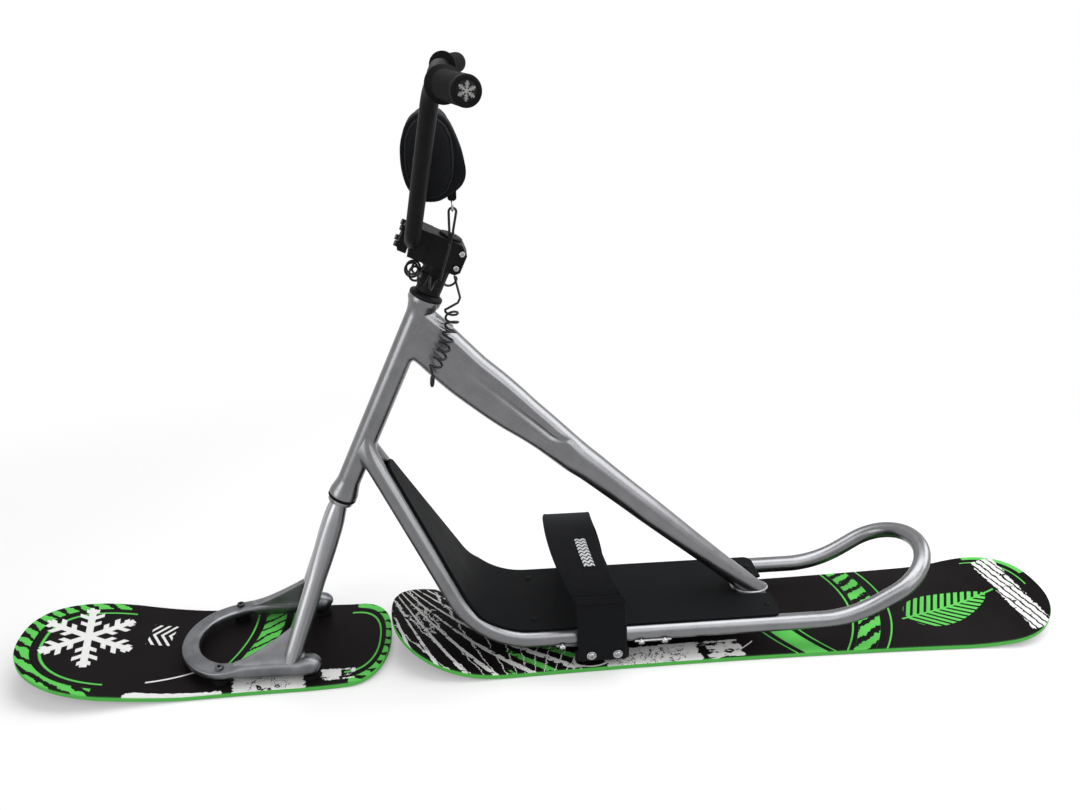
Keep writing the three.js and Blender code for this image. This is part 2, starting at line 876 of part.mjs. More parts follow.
function fork() {
  const tall = stemTop - steererTopGap;
  const post = turned([
    [0, -neckLength],
    [neckRadius, -neckLength],
    [neckRadius, -sealHeight - fit - seatHeight],
    [seatRadius, -sealHeight - fit - seatHeight],
    [seatRadius, -sealHeight - fit],
    [steererRadius, -sealHeight - fit],
    [steererRadius, tall],
    [0, tall],
  ]);
  const bore = disc(steererBore, 0, tall + overrun, boreSides);
  const blades = [-1, 1].map((side) => rod(bladePath(side), bladeRadius, tubeSides));
  const bores = [-1, 1].map((side) => {
    const [top, foot] = bladePath(side);
    const below = foot.clone().add(foot.clone().sub(top).setLength(overrun));
    const plug = top.clone().lerp(foot, neckLength / top.distanceTo(foot));
    return rod([plug, below], bladeRadius - bladeWall, boreSides);
  });
  return cut(join(inHead(post), ...blades), inHead(bore), ...bores, legRoom(-1), legRoom(1));
}

// Front shoe: a flat horseshoe that turns into two round legs, with gussets up to the blades

const frontBandHalf = bandThickness / 2;

// Round where it's a leg, and a softened flat bar where it's the band.
function shoeSection(half, tall) {
  const round = Math.min(half, tall) * (tall > frontBandHalf ? legCornerShare : bandCornerShare);
  return softBox(half, tall, round);
}

function shoeStations() {
  const station = (x, [, half, tall]) => ({ x, half: half * legRadius, tall: tall * legRadius });
  return [
    ...heelShares.map((shares) => station(legRearX - shares[0] * legRadius, shares)),
    { x: bladeFootX - bladeRadius, half: legRadius, tall: legRadius },
    ...toeShares.map((shares) => station(bandCentreX + shares[0] * legRadius, shares)),
  ];
}

function shoeBody() {
  const path = [];
  const sizes = [];
  const stations = shoeStations();
  for (const s of stations) {
    path.push(point(s.x, -legHalfSpacing, legZ));
    sizes.push([s.half, s.tall]);
  }
  for (let i = 0; i <= bandSteps; i++) {
    const turn = quarterTurn + (i * halfTurn) / bandSteps;
    const [x, y] = [bandCentreX + legHalfSpacing * Math.cos(turn), -legHalfSpacing * Math.sin(turn)];
    path.push(point(x, y, legZ - bandDrop));
    sizes.push([legRadius, frontBandHalf]);
  }
  for (const s of [...stations].reverse()) {
    path.push(point(s.x, legHalfSpacing, legZ));
    sizes.push([s.half, s.tall]);
  }
  return swept(path, (i) => shoeSection(...sizes[i]), point(0, 1, 0));
}

// A three-cornered web that stands on a leg and leans with the blade.
function gusset(side, reach, height) {
  const [top, foot] = bladePath(side);
  const along = top.clone().sub(foot).normalize();
  const forward = point(Math.sign(reach), 0, 0);
  const across = forward.clone().cross(along).normalize();
  const sunk = legRadius / 2;
  const outline = [
    [0, -sunk],
    [Math.abs(reach), -sunk],
    [Math.abs(reach), 0],
    ...webEdgeShares.map(([out, up]) => [Math.abs(reach) * out, height * up]),
    [0, height],
  ];
  const made = moved(plate(outline, gussetThickness), 0, 0, -gussetThickness / 2);
  const base = foot.clone().addScaledVector(along, legRadius / along.z);
  const place = new THREE.Matrix4().makeBasis(forward, along, across).setPosition(base);
  return outward(made.applyMatrix4(place));
}

function frontShoe() {
  const webs = [-1, 1].flatMap((side) => {
    const bladeRoom = rod(stretched(bladePath(side), overrun), bladeRadius + fit, tubeSides);
    return [
      cut(gusset(side, -frontGussetLength, frontGussetHeight), bladeRoom),
      cut(gusset(side, rearGussetLength, rearGussetHeight), bladeRoom),
    ];
  });
  const seatZ = boltHeadTopZ - boltHeadHeight - fit;
  const seats = boltHoles(frontBoltPlaces, boltHeadRadius + fit, seatZ, legZ + overrun);
  const holes = boltHoles(frontBoltPlaces, boltShankRadius + fit, 0, legZ + overrun);
  return cut(join(shoeBody(), ...webs), ...seats, ...holes);
}

add("fork", fork(), polished);
add("front_shoe", frontShoe(), polished);

function legUndersideAt(x) {
  return x < bandCentreX ? legZ - bandDrop - frontBandHalf : legZ - legRadius;
}

frontBoltPlaces.forEach(([x, y], i) => {
  const name = (x === frontBoltX[0] ? "front" : "rear") + (y < 0 ? "_left" : "_right");
  const underside = legUndersideAt(x);
  const damper = cut(
    disc(frontDamperRadius, frontBoardThickness + fit, underside - fit, 2 * smallSides),
    disc(boltShankRadius + fit, 0, underside + overrun),
  );
  const seatZ = boltHeadTopZ - boltHeadHeight;
  const bolt = turned(
    [
      [0, boltTipZ],
      [boltShankRadius, boltTipZ],
      [boltShankRadius, seatZ],
      [boltHeadRadius, seatZ],
      [boltHeadRadius, boltHeadTopZ],
      [0, boltHeadTopZ],
    ],
    smallSides,
  );
  const socket = disc(boltHeadRadius / 2, boltHeadTopZ - boltHeadHeight / 2, boltHeadTopZ + overrun, 6);
  add("front_damper_" + name, moved(damper, x, y, 0), rubber);
  add("front_bolt_" + name, moved(cut(bolt, socket), x, y, 0), steel);
});

// Stem, face plate, top cap

function stemBody() {
  const half = stemWidth / 2;
  const front = -(stemReach - clampSlot / 2);
  const outline = [
    [front, stemBase],
    [stemRear - stemCorner, stemBase],
    [stemRear, stemBase + stemCorner],
    [stemRear, stemTop - 2 * stemCorner],
    [stemRear - 2 * stemCorner, stemTop - fit],
    [front, stemTop - fit],
  ];
  const block = uprightPlate(outline, -half, half);
  const barBore = aimed(
    disc(barRadius + fit, -half - overrun, half + overrun, ringSides),
    point(-stemReach, 0, stemBase + barBoreHeight),
    point(0, 1, 0),
  );
  const steererHole = disc(steererRadius + fit, stemBase - overrun, stemTop + overrun, ringSides);
  const halfSlot = pinchSlot / 2;
  const slot = box(0, stemRear + overrun, -halfSlot, halfSlot, stemBase - overrun, stemTop + overrun);
  const waist = stemReach - barRadius - stemCorner;
  const shaved = half - stemCorner / 2;
  const relief = [[-half - overrun, -shaved], [shaved, half + overrun]].map(([y0, y1]) =>
    box(-waist + stemCorner, stemRear + overrun, y0, y1, stemBase - overrun, stemTop + overrun),
  );
  const shaped = cut(block, barBore, steererHole, slot, ...relief);
  const heads = [stemBase + pinchBoltInset, stemTop - pinchBoltInset].map((z) =>
    aimed(
      disc(pinchBoltRadius, -pinchBoltProud, stemCorner),
      point(pinchBoltSetback, -half + stemCorner / 2, z),
      point(0, 1, 0),
    ),
  );
  return join(shaped, ...heads);
}

function facePlate() {
  const half = facePlateWidth / 2;
  const rear = -(stemReach + clampSlot / 2);
  const front = -(stemReach + facePlateDepth);
  const outline = [
    [rear, stemBase + stemCorner / 2],
    [rear, stemTop - stemCorner / 4],
    [front + stemCorner, stemTop - stemCorner / 4],
    [front, stemTop - 1.5 * stemCorner],
    [front, stemBase + 1.5 * stemCorner],
    [front + stemCorner / 2, stemBase + stemCorner / 2],
  ];
  const block = uprightPlate(outline, -half, half);
  const barBore = aimed(
    disc(barRadius + fit, -half - overrun, half + overrun, ringSides),
    point(-stemReach, 0, stemBase + barBoreHeight),
    point(0, 1, 0),
  );
  const [low, high] = [stemBase + 2 * stemCorner, stemTop - 2 * stemCorner];
  const window = box(front - overrun, rear - barRadius, -half / 3, half / 3, low, high);
  const heads = [-1, 1].flatMap((side) =>
    [stemBase + stemCorner + pinchBoltRadius, stemTop - stemCorner - pinchBoltRadius].map((z) =>
      aimed(
        disc(pinchBoltRadius, -pinchBoltProud, stemCorner),
        point(front, side * (half - stemCorner), z),
        point(1, 0, 0),
      ),
    ),
  );
  return cut(join(block, ...heads), barBore, window);
}

function topCap() {
  const z0 = stemTop;
  return turned([
    [0, z0],
    [topCapRadius, z0],
    [topCapRadius, z0 + topCapHeight / 2],
    [topCapRadius - topCapHeight / 2, z0 + topCapHeight],
    [topCapBoltRadius, z0 + topCapHeight],
    [topCapBoltRadius, z0 + topCapHeight + topCapBoltHeight],
    [0, z0 + topCapHeight + topCapBoltHeight],
  ]);
}

add("stem_body", inHead(stemBody()), blackMetal);
add("stem_face_plate", inHead(facePlate()), blackMetal);
add("top_cap", inHead(topCap()), blackMetal);

// Handlebar with its crossbar, and the grips

const barEnd = point(barClamp.x + barEndReach, -barHalfWidth, barTopZ);
const barKnee = point(barClamp.x + barKneeReach, -barKneeY, barTopZ);
const barFoot = point(barClamp.x, -barFootY, barClamp.z);
const gripDirection = barKnee.clone().sub(barEnd).normalize();

function handlebar() {
  const innerEnd = barEnd.clone().addScaledVector(gripDirection, gripEndThickness + fit);
  const corners = [innerEnd, barKnee, barFoot];
  const all = [...corners, ...flippedY(corners)];
  const radii = [barKneeBend, barFootBend, barFootBend, barKneeBend];
  const path = bentPath(all, radii);
  const crossLeft = barFoot.clone().lerp(barKnee, crossbarShare);
  const crossPath = [crossLeft, point(crossLeft.x, -crossLeft.y, crossLeft.z)];
  const crossTube = rod(crossPath, crossbarRadius, tubeSides, point(1, 0, 0));
  const outer = join(rod(path, barRadius, tubeSides), crossTube);
  const bore = rod(stretched(path, overrun), barRadius - barWall, boreSides);
  return cut(outer, bore, rod(crossPath, crossbarBore, boreSides, point(1, 0, 0)));
}

function grip() {
  const length = (barHalfWidth - gripInnerEnd) / Math.abs(gripDirection.y);
  const profile = [
    [0, 0],
    [gripRadius - gripEndThickness / 2, 0],
    [gripRadius, gripEndThickness / 2],
  ];
  const start = gripEndThickness * 2;
  const room = length - start - gripFlangeThickness * 2;
  for (let i = 0; i < gripRibs; i++) {
    const z = start + (room * i) / gripRibs;
    const half = room / gripRibs / 2;
    profile.push([gripRadius, z], [gripRadius - gripRibDepth, z + half]);
  }
  profile.push(
    [gripRadius, length - gripFlangeThickness * 2],
    [gripFlangeRadius, length - gripFlangeThickness],
    [gripFlangeRadius, length],
    [barRadius + fit, length],
    [barRadius + fit, gripEndThickness],
    [0, gripEndThickness],
  );
  return aimed(turned(profile, tubeSides + 4), barEnd, gripDirection);
}

add("handlebar", handlebar(), blackMetal);
add("left_grip", grip(), rubber);
add("right_grip", mirrored(grip()), rubber);

// Crossbar pad, leash cuff and ring

// Where a strut of the handlebar is at a height.
function strutAt(z) {
  return barFoot.clone().lerp(barKnee, (z - barFoot.z) / barRise);
}

const crossbarX = strutAt(crossbarZ).x;
const padX = crossbarX + padSetback;
const padZ = crossbarZ - padDrop;
const padHalfLength = Math.abs(strutAt(padZ - padHalfHeight).y) - padEndGap;
const cuffCentreY = cuffInset - padHalfLength;
const ringCentre = point(padX + ringBehindPad, cuffCentreY - ringBeside, padZ - ringBelowPad);

// The pad's oval section, grown by a clearance, as [x, z]. The growth may differ round it.
function padOval(grownAt, steps) {
  return [...Array(steps).keys()].map((i) => {
    const turn = (i * fullTurn) / steps;
    const [c, n] = [Math.cos(turn), Math.sin(turn)];
    const grown = grownAt(turn);
    const bend = 2 / padRoundPower;
    return [
      padX + (padHalfDepth + grown) * Math.sign(c) * Math.abs(c) ** bend,
      padZ + (padHalfHeight + grown) * Math.sign(n) * Math.abs(n) ** bend,
    ];
  });
}

function crossbarPad() {
  const half = padHalfLength;
  const ends = padCrownShares.map(([along, girth]) => [-along, girth]).reverse();
  const rings = [...ends, ...padCrownShares].map(([along, girth]) =>
    padOval(() => 0, padSides).map(([x, z]) =>
      point(padX + (x - padX) * girth, half * along, padZ + (z - padZ) * girth),
    ),
  );
  const hole = aimed(
    disc(crossbarRadius + fit, -half - overrun, half + overrun, smallSides + 4),
    point(crossbarX, 0, crossbarZ),
    point(0, 1, 0),
  );
  return cut(loft(rings), hole);
}

function leashCuff() {
  const y0 = cuffCentreY - cuffWidth / 2;
  const bulge = (turn) => {
    const away = THREE.MathUtils.euclideanModulo(turn - cuffBulgeTurn + Math.PI, fullTurn) - Math.PI;
    return fit + cuffThickness + cuffBulge * Math.exp(-((away / cuffBulgeSpread) ** 2));
  };
  const wrap = uprightPlate(padOval(bulge, padSides), y0, y0 + cuffWidth);
  const bore = uprightPlate(padOval(() => fit, padSides), y0 - overrun, y0 + cuffWidth + overrun);
  const eyeZ = ringCentre.z + ringRadius + tabHoleRadius - ringWire * ringRestShare;
  const low = eyeZ - 2 * tabHoleRadius;
  const tabOutline = [
    [ringCentre.x - tabHalfWidth, low + tabHoleRadius],
    [ringCentre.x - tabHalfWidth / 2, low],
    [ringCentre.x + tabHalfWidth / 2, low],
    [ringCentre.x + tabHalfWidth, low + tabHoleRadius],
    [ringCentre.x + tabHalfWidth, eyeZ + padHalfDepth / 2],
    [ringCentre.x - tabHalfWidth, eyeZ + padHalfDepth / 2],
  ];
  const halfTab = tabThickness / 2;
  const tab = uprightPlate(tabOutline, ringCentre.y - halfTab, ringCentre.y + halfTab);
  const tabHole = aimed(
    disc(tabHoleRadius, -tabThickness, tabThickness),
    point(ringCentre.x, ringCentre.y, eyeZ),
    point(0, 1, 0),
  );
  return join(cut(join(wrap, tab), bore, tabHole), leashRing());
}

function leashRing() {
  const path = [...Array(ringSteps).keys()].map((i) => {
    const turn = (i * fullTurn) / ringSteps;
    return ringCentre.clone().add(point(0, ringRadius * Math.sin(turn), ringRadius * Math.cos(turn)));
  });
  return closedRod(path, ringWire, holeSides, point(1, 0, 0));
}

// A round rod whose path closes on itself and lies in the plane square to one side.
function closedRod(path, radius, sides, side) {
  const count = path.length;
  const positions = [];
  const index = [];
  path.forEach((p, i) => {
    const along = path[(i + 1) % count].clone().sub(path[(i + count - 1) % count]).normalize();
    const up = along.clone().cross(side);
    for (const [a, b] of roundSection(radius, sides)) {
      const q = p.clone().addScaledVector(side, a).addScaledVector(up, b);
      positions.push(q.x, q.y, q.z);
    }
    for (let k = 0; k < sides; k++) {
      const [m, n] = [i * sides + k, i * sides + ((k + 1) % sides)];
      const [o, q] = [((i + 1) % count) * sides + k, ((i + 1) % count) * sides + ((k + 1) % sides)];
      index.push(m, n, q, m, q, o);
    }
  });
  const geometry = new THREE.BufferGeometry();
  geometry.setAttribute("position", new THREE.BufferAttribute(new Float32Array(positions), 3));
  geometry.setIndex(index);
  return outward(geometry);
}

add("crossbar_pad", crossbarPad(), foam);
add("leash_cuff", leashCuff(), fabric);

// Leash: an eye on the ring, a coil wound round the spacer, and a coil that hangs beside the top tube

const eyeTop = ringCentre.clone().add(point(0, 0, ringWire + cordRadius + fit - ringRadius));
const eyeFoot = eyeTop.clone().add(point(-eyeLean, 0, -eyeHeight));
const crimpFoot = eyeFoot.clone().add(point(-crimpLean, 0, -crimpLength));

function leashEye() {
  const steps = 9;
  const top = eyeTop.clone().add(point(0, 0, -eyeHalfWidth));
  const path = [];
  for (let i = 0; i <= steps; i++) {
    const turn = (i * halfTurn) / steps;
    path.push(top.clone().add(point(eyeHalfWidth * Math.cos(turn), 0, eyeHalfWidth * Math.sin(turn))));
  }
  const neck = eyeFoot.clone().lerp(top, eyeNeckShare);
  path.push(neck.clone().add(point(-1.5 * cordRadius, 0, 0)));
  path.push(eyeFoot.clone().add(point(-cordRadius, 0, -cordRadius)));
  path.push(eyeFoot.clone().add(point(cordRadius, 0, -cordRadius)));
  path.push(neck.clone().add(point(1.5 * cordRadius, 0, 0)));
  const loop = closedRod(path, cordRadius, 6, point(0, 1, 0));
  const crimp = rod([eyeFoot, crimpFoot], crimpRadius, smallSides);
  return join(loop, crimp);
}

// Curls about a route. The route gives a point and two unit vectors square to it, for a share of its length.
function curlsOn(route, length, pitch, radiusAt, phase) {
  const turns = Math.round(length / pitch);
  const points = [];
  for (let i = 0; i <= turns * curlSteps; i++) {
    const share = i / (turns * curlSteps);
    const { centre, out, up } = route(share);
    const turn = phase + (i * fullTurn) / curlSteps;
    const radius = radiusAt(share);
    const p = centre.clone().addScaledVector(out, radius * Math.cos(turn));
    points.push(p.addScaledVector(up, radius * Math.sin(turn)));
  }
  return points;
}

const windHeight = headTubeLength + windRise;

// Round the spacer, from the left by the front and the right to the back, counted about the steering axis.
function windRoute(share) {
  const turn = windFrom + (windTo - windFrom) * share;
  const out = back.clone().multiplyScalar(Math.cos(turn));
  out.addScaledVector(left, -Math.sin(turn));
  const centre = onAxis(windHeight, 0, 0).addScaledVector(out, windRadius);
  return { centre, out, up: axis };
}

const hangTop = onAxis(headTubeLength - hangDrop, hangSetback, 0);
const hangPoints = hangOffsets.map(([x, y, z]) => hangTop.clone().add(point(x, y, z)));
const hangCurve = new THREE.CatmullRomCurve3(hangPoints);

function hangRoute(share) {
  const centre = hangCurve.getPointAt(share);
  const along = hangCurve.getTangentAt(share);
  const out = left.clone().addScaledVector(along, -left.dot(along)).normalize();
  return { centre, out, up: out.clone().cross(along).negate() };
}

const windLength = Math.abs(windTo - windFrom) * windRadius;
const startTurn = quarterTurn;
const taperedRadius = (share) => curlRadius - hangTaper * share;
const upperCurls = curlsOn(windRoute, windLength, curlPitchUpper, () => curlRadius, startTurn);
const lowerCurls = curlsOn(hangRoute, hangCurve.getLength(), curlPitchLower, taperedRadius, startTurn);
const meet = onAxis(headTubeLength + coilMeetRise, coilMeetBehind, -coilMeetLeft);
const upperEnd = meet.clone().addScaledVector(axis, fit / 2);
const lowerStart = meet.clone().addScaledVector(axis, -fit / 2);
const upperTail = [upperEnd.clone().addScaledVector(axis, coilTail), upperEnd];
const lowerLead = [lowerStart, lowerStart.clone().addScaledVector(axis, -coilTail)];
const hangEnd = hangPoints[hangPoints.length - 1];
const sleeveTop = hangEnd.clone().add(point(-sleeveSetback, 0, -curlRadius - coilTail));
const sleeveFoot = sleeveTop.clone().add(point(-sleeveLean, 0, -sleeveLength));

function smooth(points, spacing) {
  const curve = new THREE.CatmullRomCurve3(points, false, "centripetal");
  return curve.getSpacedPoints(Math.max(2, Math.round(curve.getLength() / spacing)));
}

// The least clear gap between parts of a cord that aren't neighbours along it.
function leastGap(path) {
  const apart = Math.ceil((curlSteps * 5) / 8);
  let least = Infinity;
  for (let i = 0; i < path.length; i++) {
    for (let k = i + apart; k < path.length; k++) least = Math.min(least, path[i].distanceTo(path[k]));
  }
  return least - 2 * cordRadius;
}

// The straight part below the crimp, and a slack run from there to the first curl.
const leadStart = crimpFoot.clone().add(point(0, 0, -fit));
const leadTurn = leadStart.clone().add(point(0, 0, -leadDrop));
const slackAt = (share) => {
  const onLine = leadTurn.clone().lerp(upperCurls[0], share);
  return onLine.add(point(0, -share * (1 - share) * curlRadius, 0));
};
const leadPoints = [leadStart, leadTurn, ...leadShares.map(slackAt), upperCurls[0]];
const upperCord = [...smooth(leadPoints, 4 * cordRadius).slice(0, -1), ...upperCurls, ...upperTail];
const sleeveIn = sleeveTop.clone().add(point(0, 0, fit));
const lowerCord = [...lowerLead, ...lowerCurls, sleeveIn.clone().add(point(0, 0, coilTail)), sleeveIn];
const coilGaps = [upperCord, lowerCord].map((path) => leastGap(path).toFixed(2));
console.log("leash coil, least gap to itself in mm:", ...coilGaps);
const cordLength = [upperCord, lowerCord].reduce(
  (sum, path) => sum + path.slice(1).reduce((s, p, i) => s + p.distanceTo(path[i]), 0),
  0,
);
console.log("leash cord length in mm:", cordLength.toFixed(0));

add("leash_eye", leashEye(), cordBlack);
add("leash_coil_upper", rod(upperCord, cordRadius, cordSides, point(1, 0, 0)), cordBlack);
add("leash_coil_lower", rod(lowerCord, cordRadius, cordSides, point(1, 0, 0)), cordBlack);
add(
  "leash_end_sleeve",
  swept(
    sleeveShares.map((share) => sleeveTop.clone().lerp(sleeveFoot, share)),
    (i) => roundSection([sleeveTipRadius, sleeveRadius, sleeveRadius, sleeveTipRadius][i], smallSides),
    point(0, 1, 0),
  ),
  cordBlack,
);

// Rail tube: down tubes, rails and tail hoop in one bend, with the cross bars under the deck

const hoopLean = point(Math.cos(hoopAngle), 0, Math.sin(hoopAngle));
const hoopRise = (hoopCentreX - hoopCornerX) * Math.tan(hoopAngle);
const hoopCentre = point(hoopCentreX, 0, railZ + hoopRise);
const downTop = onAxis(downTubeRise, downTubeBehind, -downTubeY);
const railCorner = point(railCornerX, -railHalfSpacing, railZ);
const crossBarTopZ = railZ + railRadius;

// The rails and the deck fold up together, and the front cross bar lies just behind the fold.
const foldAngle = Math.atan2(downTop.z - railCorner.z, railCorner.x - downTop.x);
const foldEndX = railCornerX + railBend * Math.tan(foldAngle / 2);
const deckScrewFrontX = foldEndX + deckScrewSetback;

function railPath() {
  const corners = [
    downTop,
    railCorner,
    point(hoopCornerX, -railHalfSpacing, railZ),
    point(hoopCentre.x, -railHalfSpacing, hoopCentre.z),
  ];
  const side = bentPath(corners, [railBend, hoopBend]);
  const hoop = [];
  for (let i = 1; i < hoopSteps; i++) {
    const turn = (i * halfTurn) / hoopSteps;
    hoop.push(
      hoopCentre
        .clone()
        .addScaledVector(hoopLean, railHalfSpacing * Math.sin(turn))
        .add(point(0, -railHalfSpacing * Math.cos(turn), 0)),
    );
  }
  return [...side, ...hoop, ...flippedY(side)];
}

function railBoltPlaces() {
  const places = mountX.flatMap((x) => [x - railBoltSpacing / 2, x + railBoltSpacing / 2]);
  return places.flatMap((x) => [[x, -1], [x, 1]]);
}

function railBoltDirection(side) {
  return point(0, side * Math.cos(railBoltAngle), -Math.sin(railBoltAngle));
}

function railBoltRoom(x, side) {
  return aimed(
    disc(railBoltShank + fit, 0, railRadius + overrun, holeSides),
    point(x, side * railHalfSpacing, railZ),
    railBoltDirection(side),
  );
}

function railTube() {
  const path = railPath();
  const outer = rod(path, railRadius, tubeSides);
  const bore = rod(stretched(path, overrun), railRadius - railWall, boreSides);
  const bars = [
    [deckScrewFrontX - frontCrossBarWidth / 2, deckScrewFrontX + frontCrossBarWidth / 2],
    [rearCrossBarFrontX, rearCrossBarRearX],
  ].map(([x0, x1]) =>
    box(x0, x1, -railHalfSpacing, railHalfSpacing, crossBarTopZ - crossBarThickness, crossBarTopZ),
  );
  const screwHoles = boltHoles(deckScrewPlaces, deckScrewShank + fit, 0, crossBarTopZ + overrun);
  const boltRooms = railBoltPlaces().map(([x, side]) => railBoltRoom(x, side));
  return cut(join(outer, ...bars), bore, headClearance(), ...screwHoles, ...boltRooms);
}

const deckScrewPlaces = [-1, 1].flatMap((side) => [
  [deckScrewFrontX, side * deckScrewFrontY],
  [deckScrewRearX, side * deckScrewRearY],
]);
add("rail_tube", railTube(), silver);

// Top tube: a lower tube to the deck, with an upper tube that melts into it

function topTubeStations() {
  const foot = point(topTubeFootX, 0, crossBarTopZ);
  const head = onAxis(topTubeJoin, 0, 0);
  const line = head.clone().sub(foot);
  const above = point(-line.z, 0, line.x).normalize().multiplyScalar(-1);
  return topTubeShares
    .map((s) => ({
      centre: foot.clone().addScaledVector(line, s.along).addScaledVector(above, -s.sag * topTubeRadius),
      radius: s.girth * topTubeRadius,
      rise: s.rise * upperTubeRise,
      crease: s.crease * creaseShare,
    }))
    .reverse();
}

// The two tubes' common outline: round below, round above, and drawn in between them.
function topTubeSection(radius, rise, crease) {
  return [...Array(topTubeSides).keys()].map((i) => {
    const turn = (i * fullTurn) / topTubeSides;
    const lift = THREE.MathUtils.clamp(waistSteepness * Math.sin(turn), -1, 1);
    const atWaist = i % (topTubeSides / 2) === 0;
    const across = radius * Math.cos(turn) * (atWaist ? 1 - crease : 1);
    return [across, radius * Math.sin(turn) + (rise / 2) * (1 + lift)];
  });
}

function topTubeSkin(wall, extra) {
  const stations = topTubeStations();
  const centres = stations.map((s) => s.centre);
  const path = extra ? stretched(centres, extra) : centres;
  const section = (i) => topTubeSection(stations[i].radius - wall, stations[i].rise, stations[i].crease);
  return swept(path, section, point(0, 1, 0));
}

function topTube() {
  const [front, rear] = [notchFrontX - overrun, rearCrossBarRearX + 3 * overrun];
  const below = box(front, rear, -railHalfSpacing, railHalfSpacing, -overrun, crossBarTopZ + fit);
  const bore = topTubeSkin(topTubeWall, overrun);
  return cut(topTubeSkin(0, 0), bore, headClearance(), headBoreRoom(), below);
}

// Everything inside the head tube, so that nothing of the top tube is left in its bore.
function headBoreRoom() {
  return inHead(disc(headTubeRadius, -overrun, headTubeLength + overrun, ringSides));
}

add("top_tube", topTube(), silver);

// Deck plate: flat over the rails, bent up between the down tubes

const deckBottomZ = railZ + railRadius + fit;

function deckProfile() {
  const along = railCorner.clone().sub(downTop).normalize();
  const flatAlong = point(along.x, 0, along.z).normalize();
  const lift = railRadius + fit;
  const normal = point(-flatAlong.z, 0, flatAlong.x);
  const corner = point(railCorner.x, 0, railCorner.z);
  const topEnd = point(downTop.x, 0, downTop.z).addScaledVector(flatAlong, deckTopSetback);
  topEnd.addScaledVector(normal, lift);
  const bisector = Math.tan(Math.acos(flatAlong.x) / 2) * lift;
  const bend = point(corner.x + bisector, 0, deckBottomZ);
  return bentPath([topEnd, bend, point(deckTailX, 0, deckBottomZ)], [railBend - lift]);
}

function deckPlate() {
  const path = deckProfile();
  const [first, flatFrom] = [path[0], path[path.length - 2]];
  const rings = framesAlong(path, point(0, 1, 0)).map(({ p, up }) => {
    const share = THREE.MathUtils.clamp((p.x - first.x) / (railCorner.x - first.x), 0, 1);
    const slanted = deckTopHalfWidth + (deckHalfWidth - deckTopHalfWidth) * share;
    const half = p.x >= flatFrom.x ? deckHalfWidth : slanted;
    const rise = up.z > 0 ? 1 : -1;
    const upper = p.clone().addScaledVector(up, rise * deckThickness);
    return [
      point(p.x, -half, p.z),
      point(p.x, half, p.z),
      point(upper.x, half, upper.z),
      point(upper.x, -half, upper.z),
    ];
  });
  const [low, high] = [deckBottomZ - overrun, deckBottomZ + overrun];
  const notch = box(notchFrontX, deckTailX + overrun, -notchHalfWidth, notchHalfWidth, low, high);
  const diagonal = deckCorner * Math.SQRT2;
  const corners = [-1, 1].map((side) =>
    moved(
      new THREE.CylinderGeometry(diagonal, diagonal, high - low, 4).rotateX(quarterTurn),
      deckTailX + deckCorner / 4,
      side * (deckHalfWidth + deckCorner / 4),
      (low + high) / 2,
    ),
  );
  const holes = boltHoles(deckScrewPlaces, deckScrewShank + fit, low, high);
  return cut(loft(rings), notch, ...corners, ...holes);
}

add("deck", deckPlate(), deckBlack);

const deckTopZ = deckBottomZ + deckThickness;
deckScrewPlaces.forEach(([x, y]) => {
  const name = (x === deckScrewFrontX ? "front" : "rear") + (y < 0 ? "_left" : "_right");
  const z0 = deckTopZ + fit;
  const screw = turned(
    [
      [0, z0 - deckThickness - deckScrewDepth],
      [deckScrewShank, z0 - deckThickness - deckScrewDepth],
      [deckScrewShank, z0],
      [deckScrewRadius, z0],
      [deckScrewRadius * deckScrewTopShare, z0 + deckScrewHeight],
      [0, z0 + deckScrewHeight],
    ],
    smallSides,
  );
  add("deck_screw_" + name, moved(screw, x, y, 0), steel);
});

// Rear board mounts: plates that hug both rails from below, with studs through the dampers

// The tray's section, in Y and Z: a flat floor, sides that rise to the rails, and ears that hug them.
function mountSection() {
  const reach = railRadius + fit;
  const floorTop = mountFloorZ + mountThickness;
  const [dy, dz] = [railHalfSpacing - mountFloorHalfWidth, railZ - floorTop];
  const sideAngle = Math.atan2(dz, dy) - Math.asin(reach / Math.hypot(dy, dz));
  const hugFrom = sideAngle - quarterTurn;
  const steps = 4;
  const arc = (radius) =>
    [...Array(steps + 1).keys()].map((i) => {
      const turn = hugFrom + ((-mountEarAngle - hugFrom) * i) / steps;
      return [railHalfSpacing + radius * Math.cos(turn), railZ + radius * Math.sin(turn)];
    });
  const lowCorner = [mountFloorHalfWidth + mountThickness * Math.tan(sideAngle / 2), mountFloorZ];
  const ears = [...arc(reach + mountThickness), ...arc(reach).reverse()];
  const half = [lowCorner, ...ears, [mountFloorHalfWidth, floorTop]];
  return [...half, ...half.map(([y, z]) => [-y, z]).reverse()];
}

function mountPlate(x) {
  const section = mountSection();
  const lying = new THREE.Matrix4().makeBasis(point(0, 1, 0), point(0, 0, 1), point(1, 0, 0));
  lying.setPosition(x - mountLength / 2, 0, 0);
  const body = outward(plate(section, mountLength).applyMatrix4(lying));
  const studs = [-1, 1].map((side) =>
    moved(
      turned(
        [
          [0, studTipZ],
          [studRadius, studTipZ],
          [studRadius, mountFloorZ + mountThickness / 2],
          [studNutRadius, mountFloorZ + mountThickness / 2],
          [studNutRadius, mountFloorZ + mountThickness + studNutHeight],
          [0, mountFloorZ + mountThickness + studNutHeight],
        ],
        smallSides,
      ),
      x,
      side * rearDamperY,
      0,
    ),
  );
  const holes = railBoltPlaces()
    .filter(([boltX]) => Math.abs(boltX - x) < mountLength / 2)
    .map(([boltX, side]) => railBoltRoom(boltX, side));
  return join(cut(body, ...holes), ...studs);
}

mountX.forEach((x, i) => add("mount_plate_" + ["front", "rear"][i], mountPlate(x), silver));

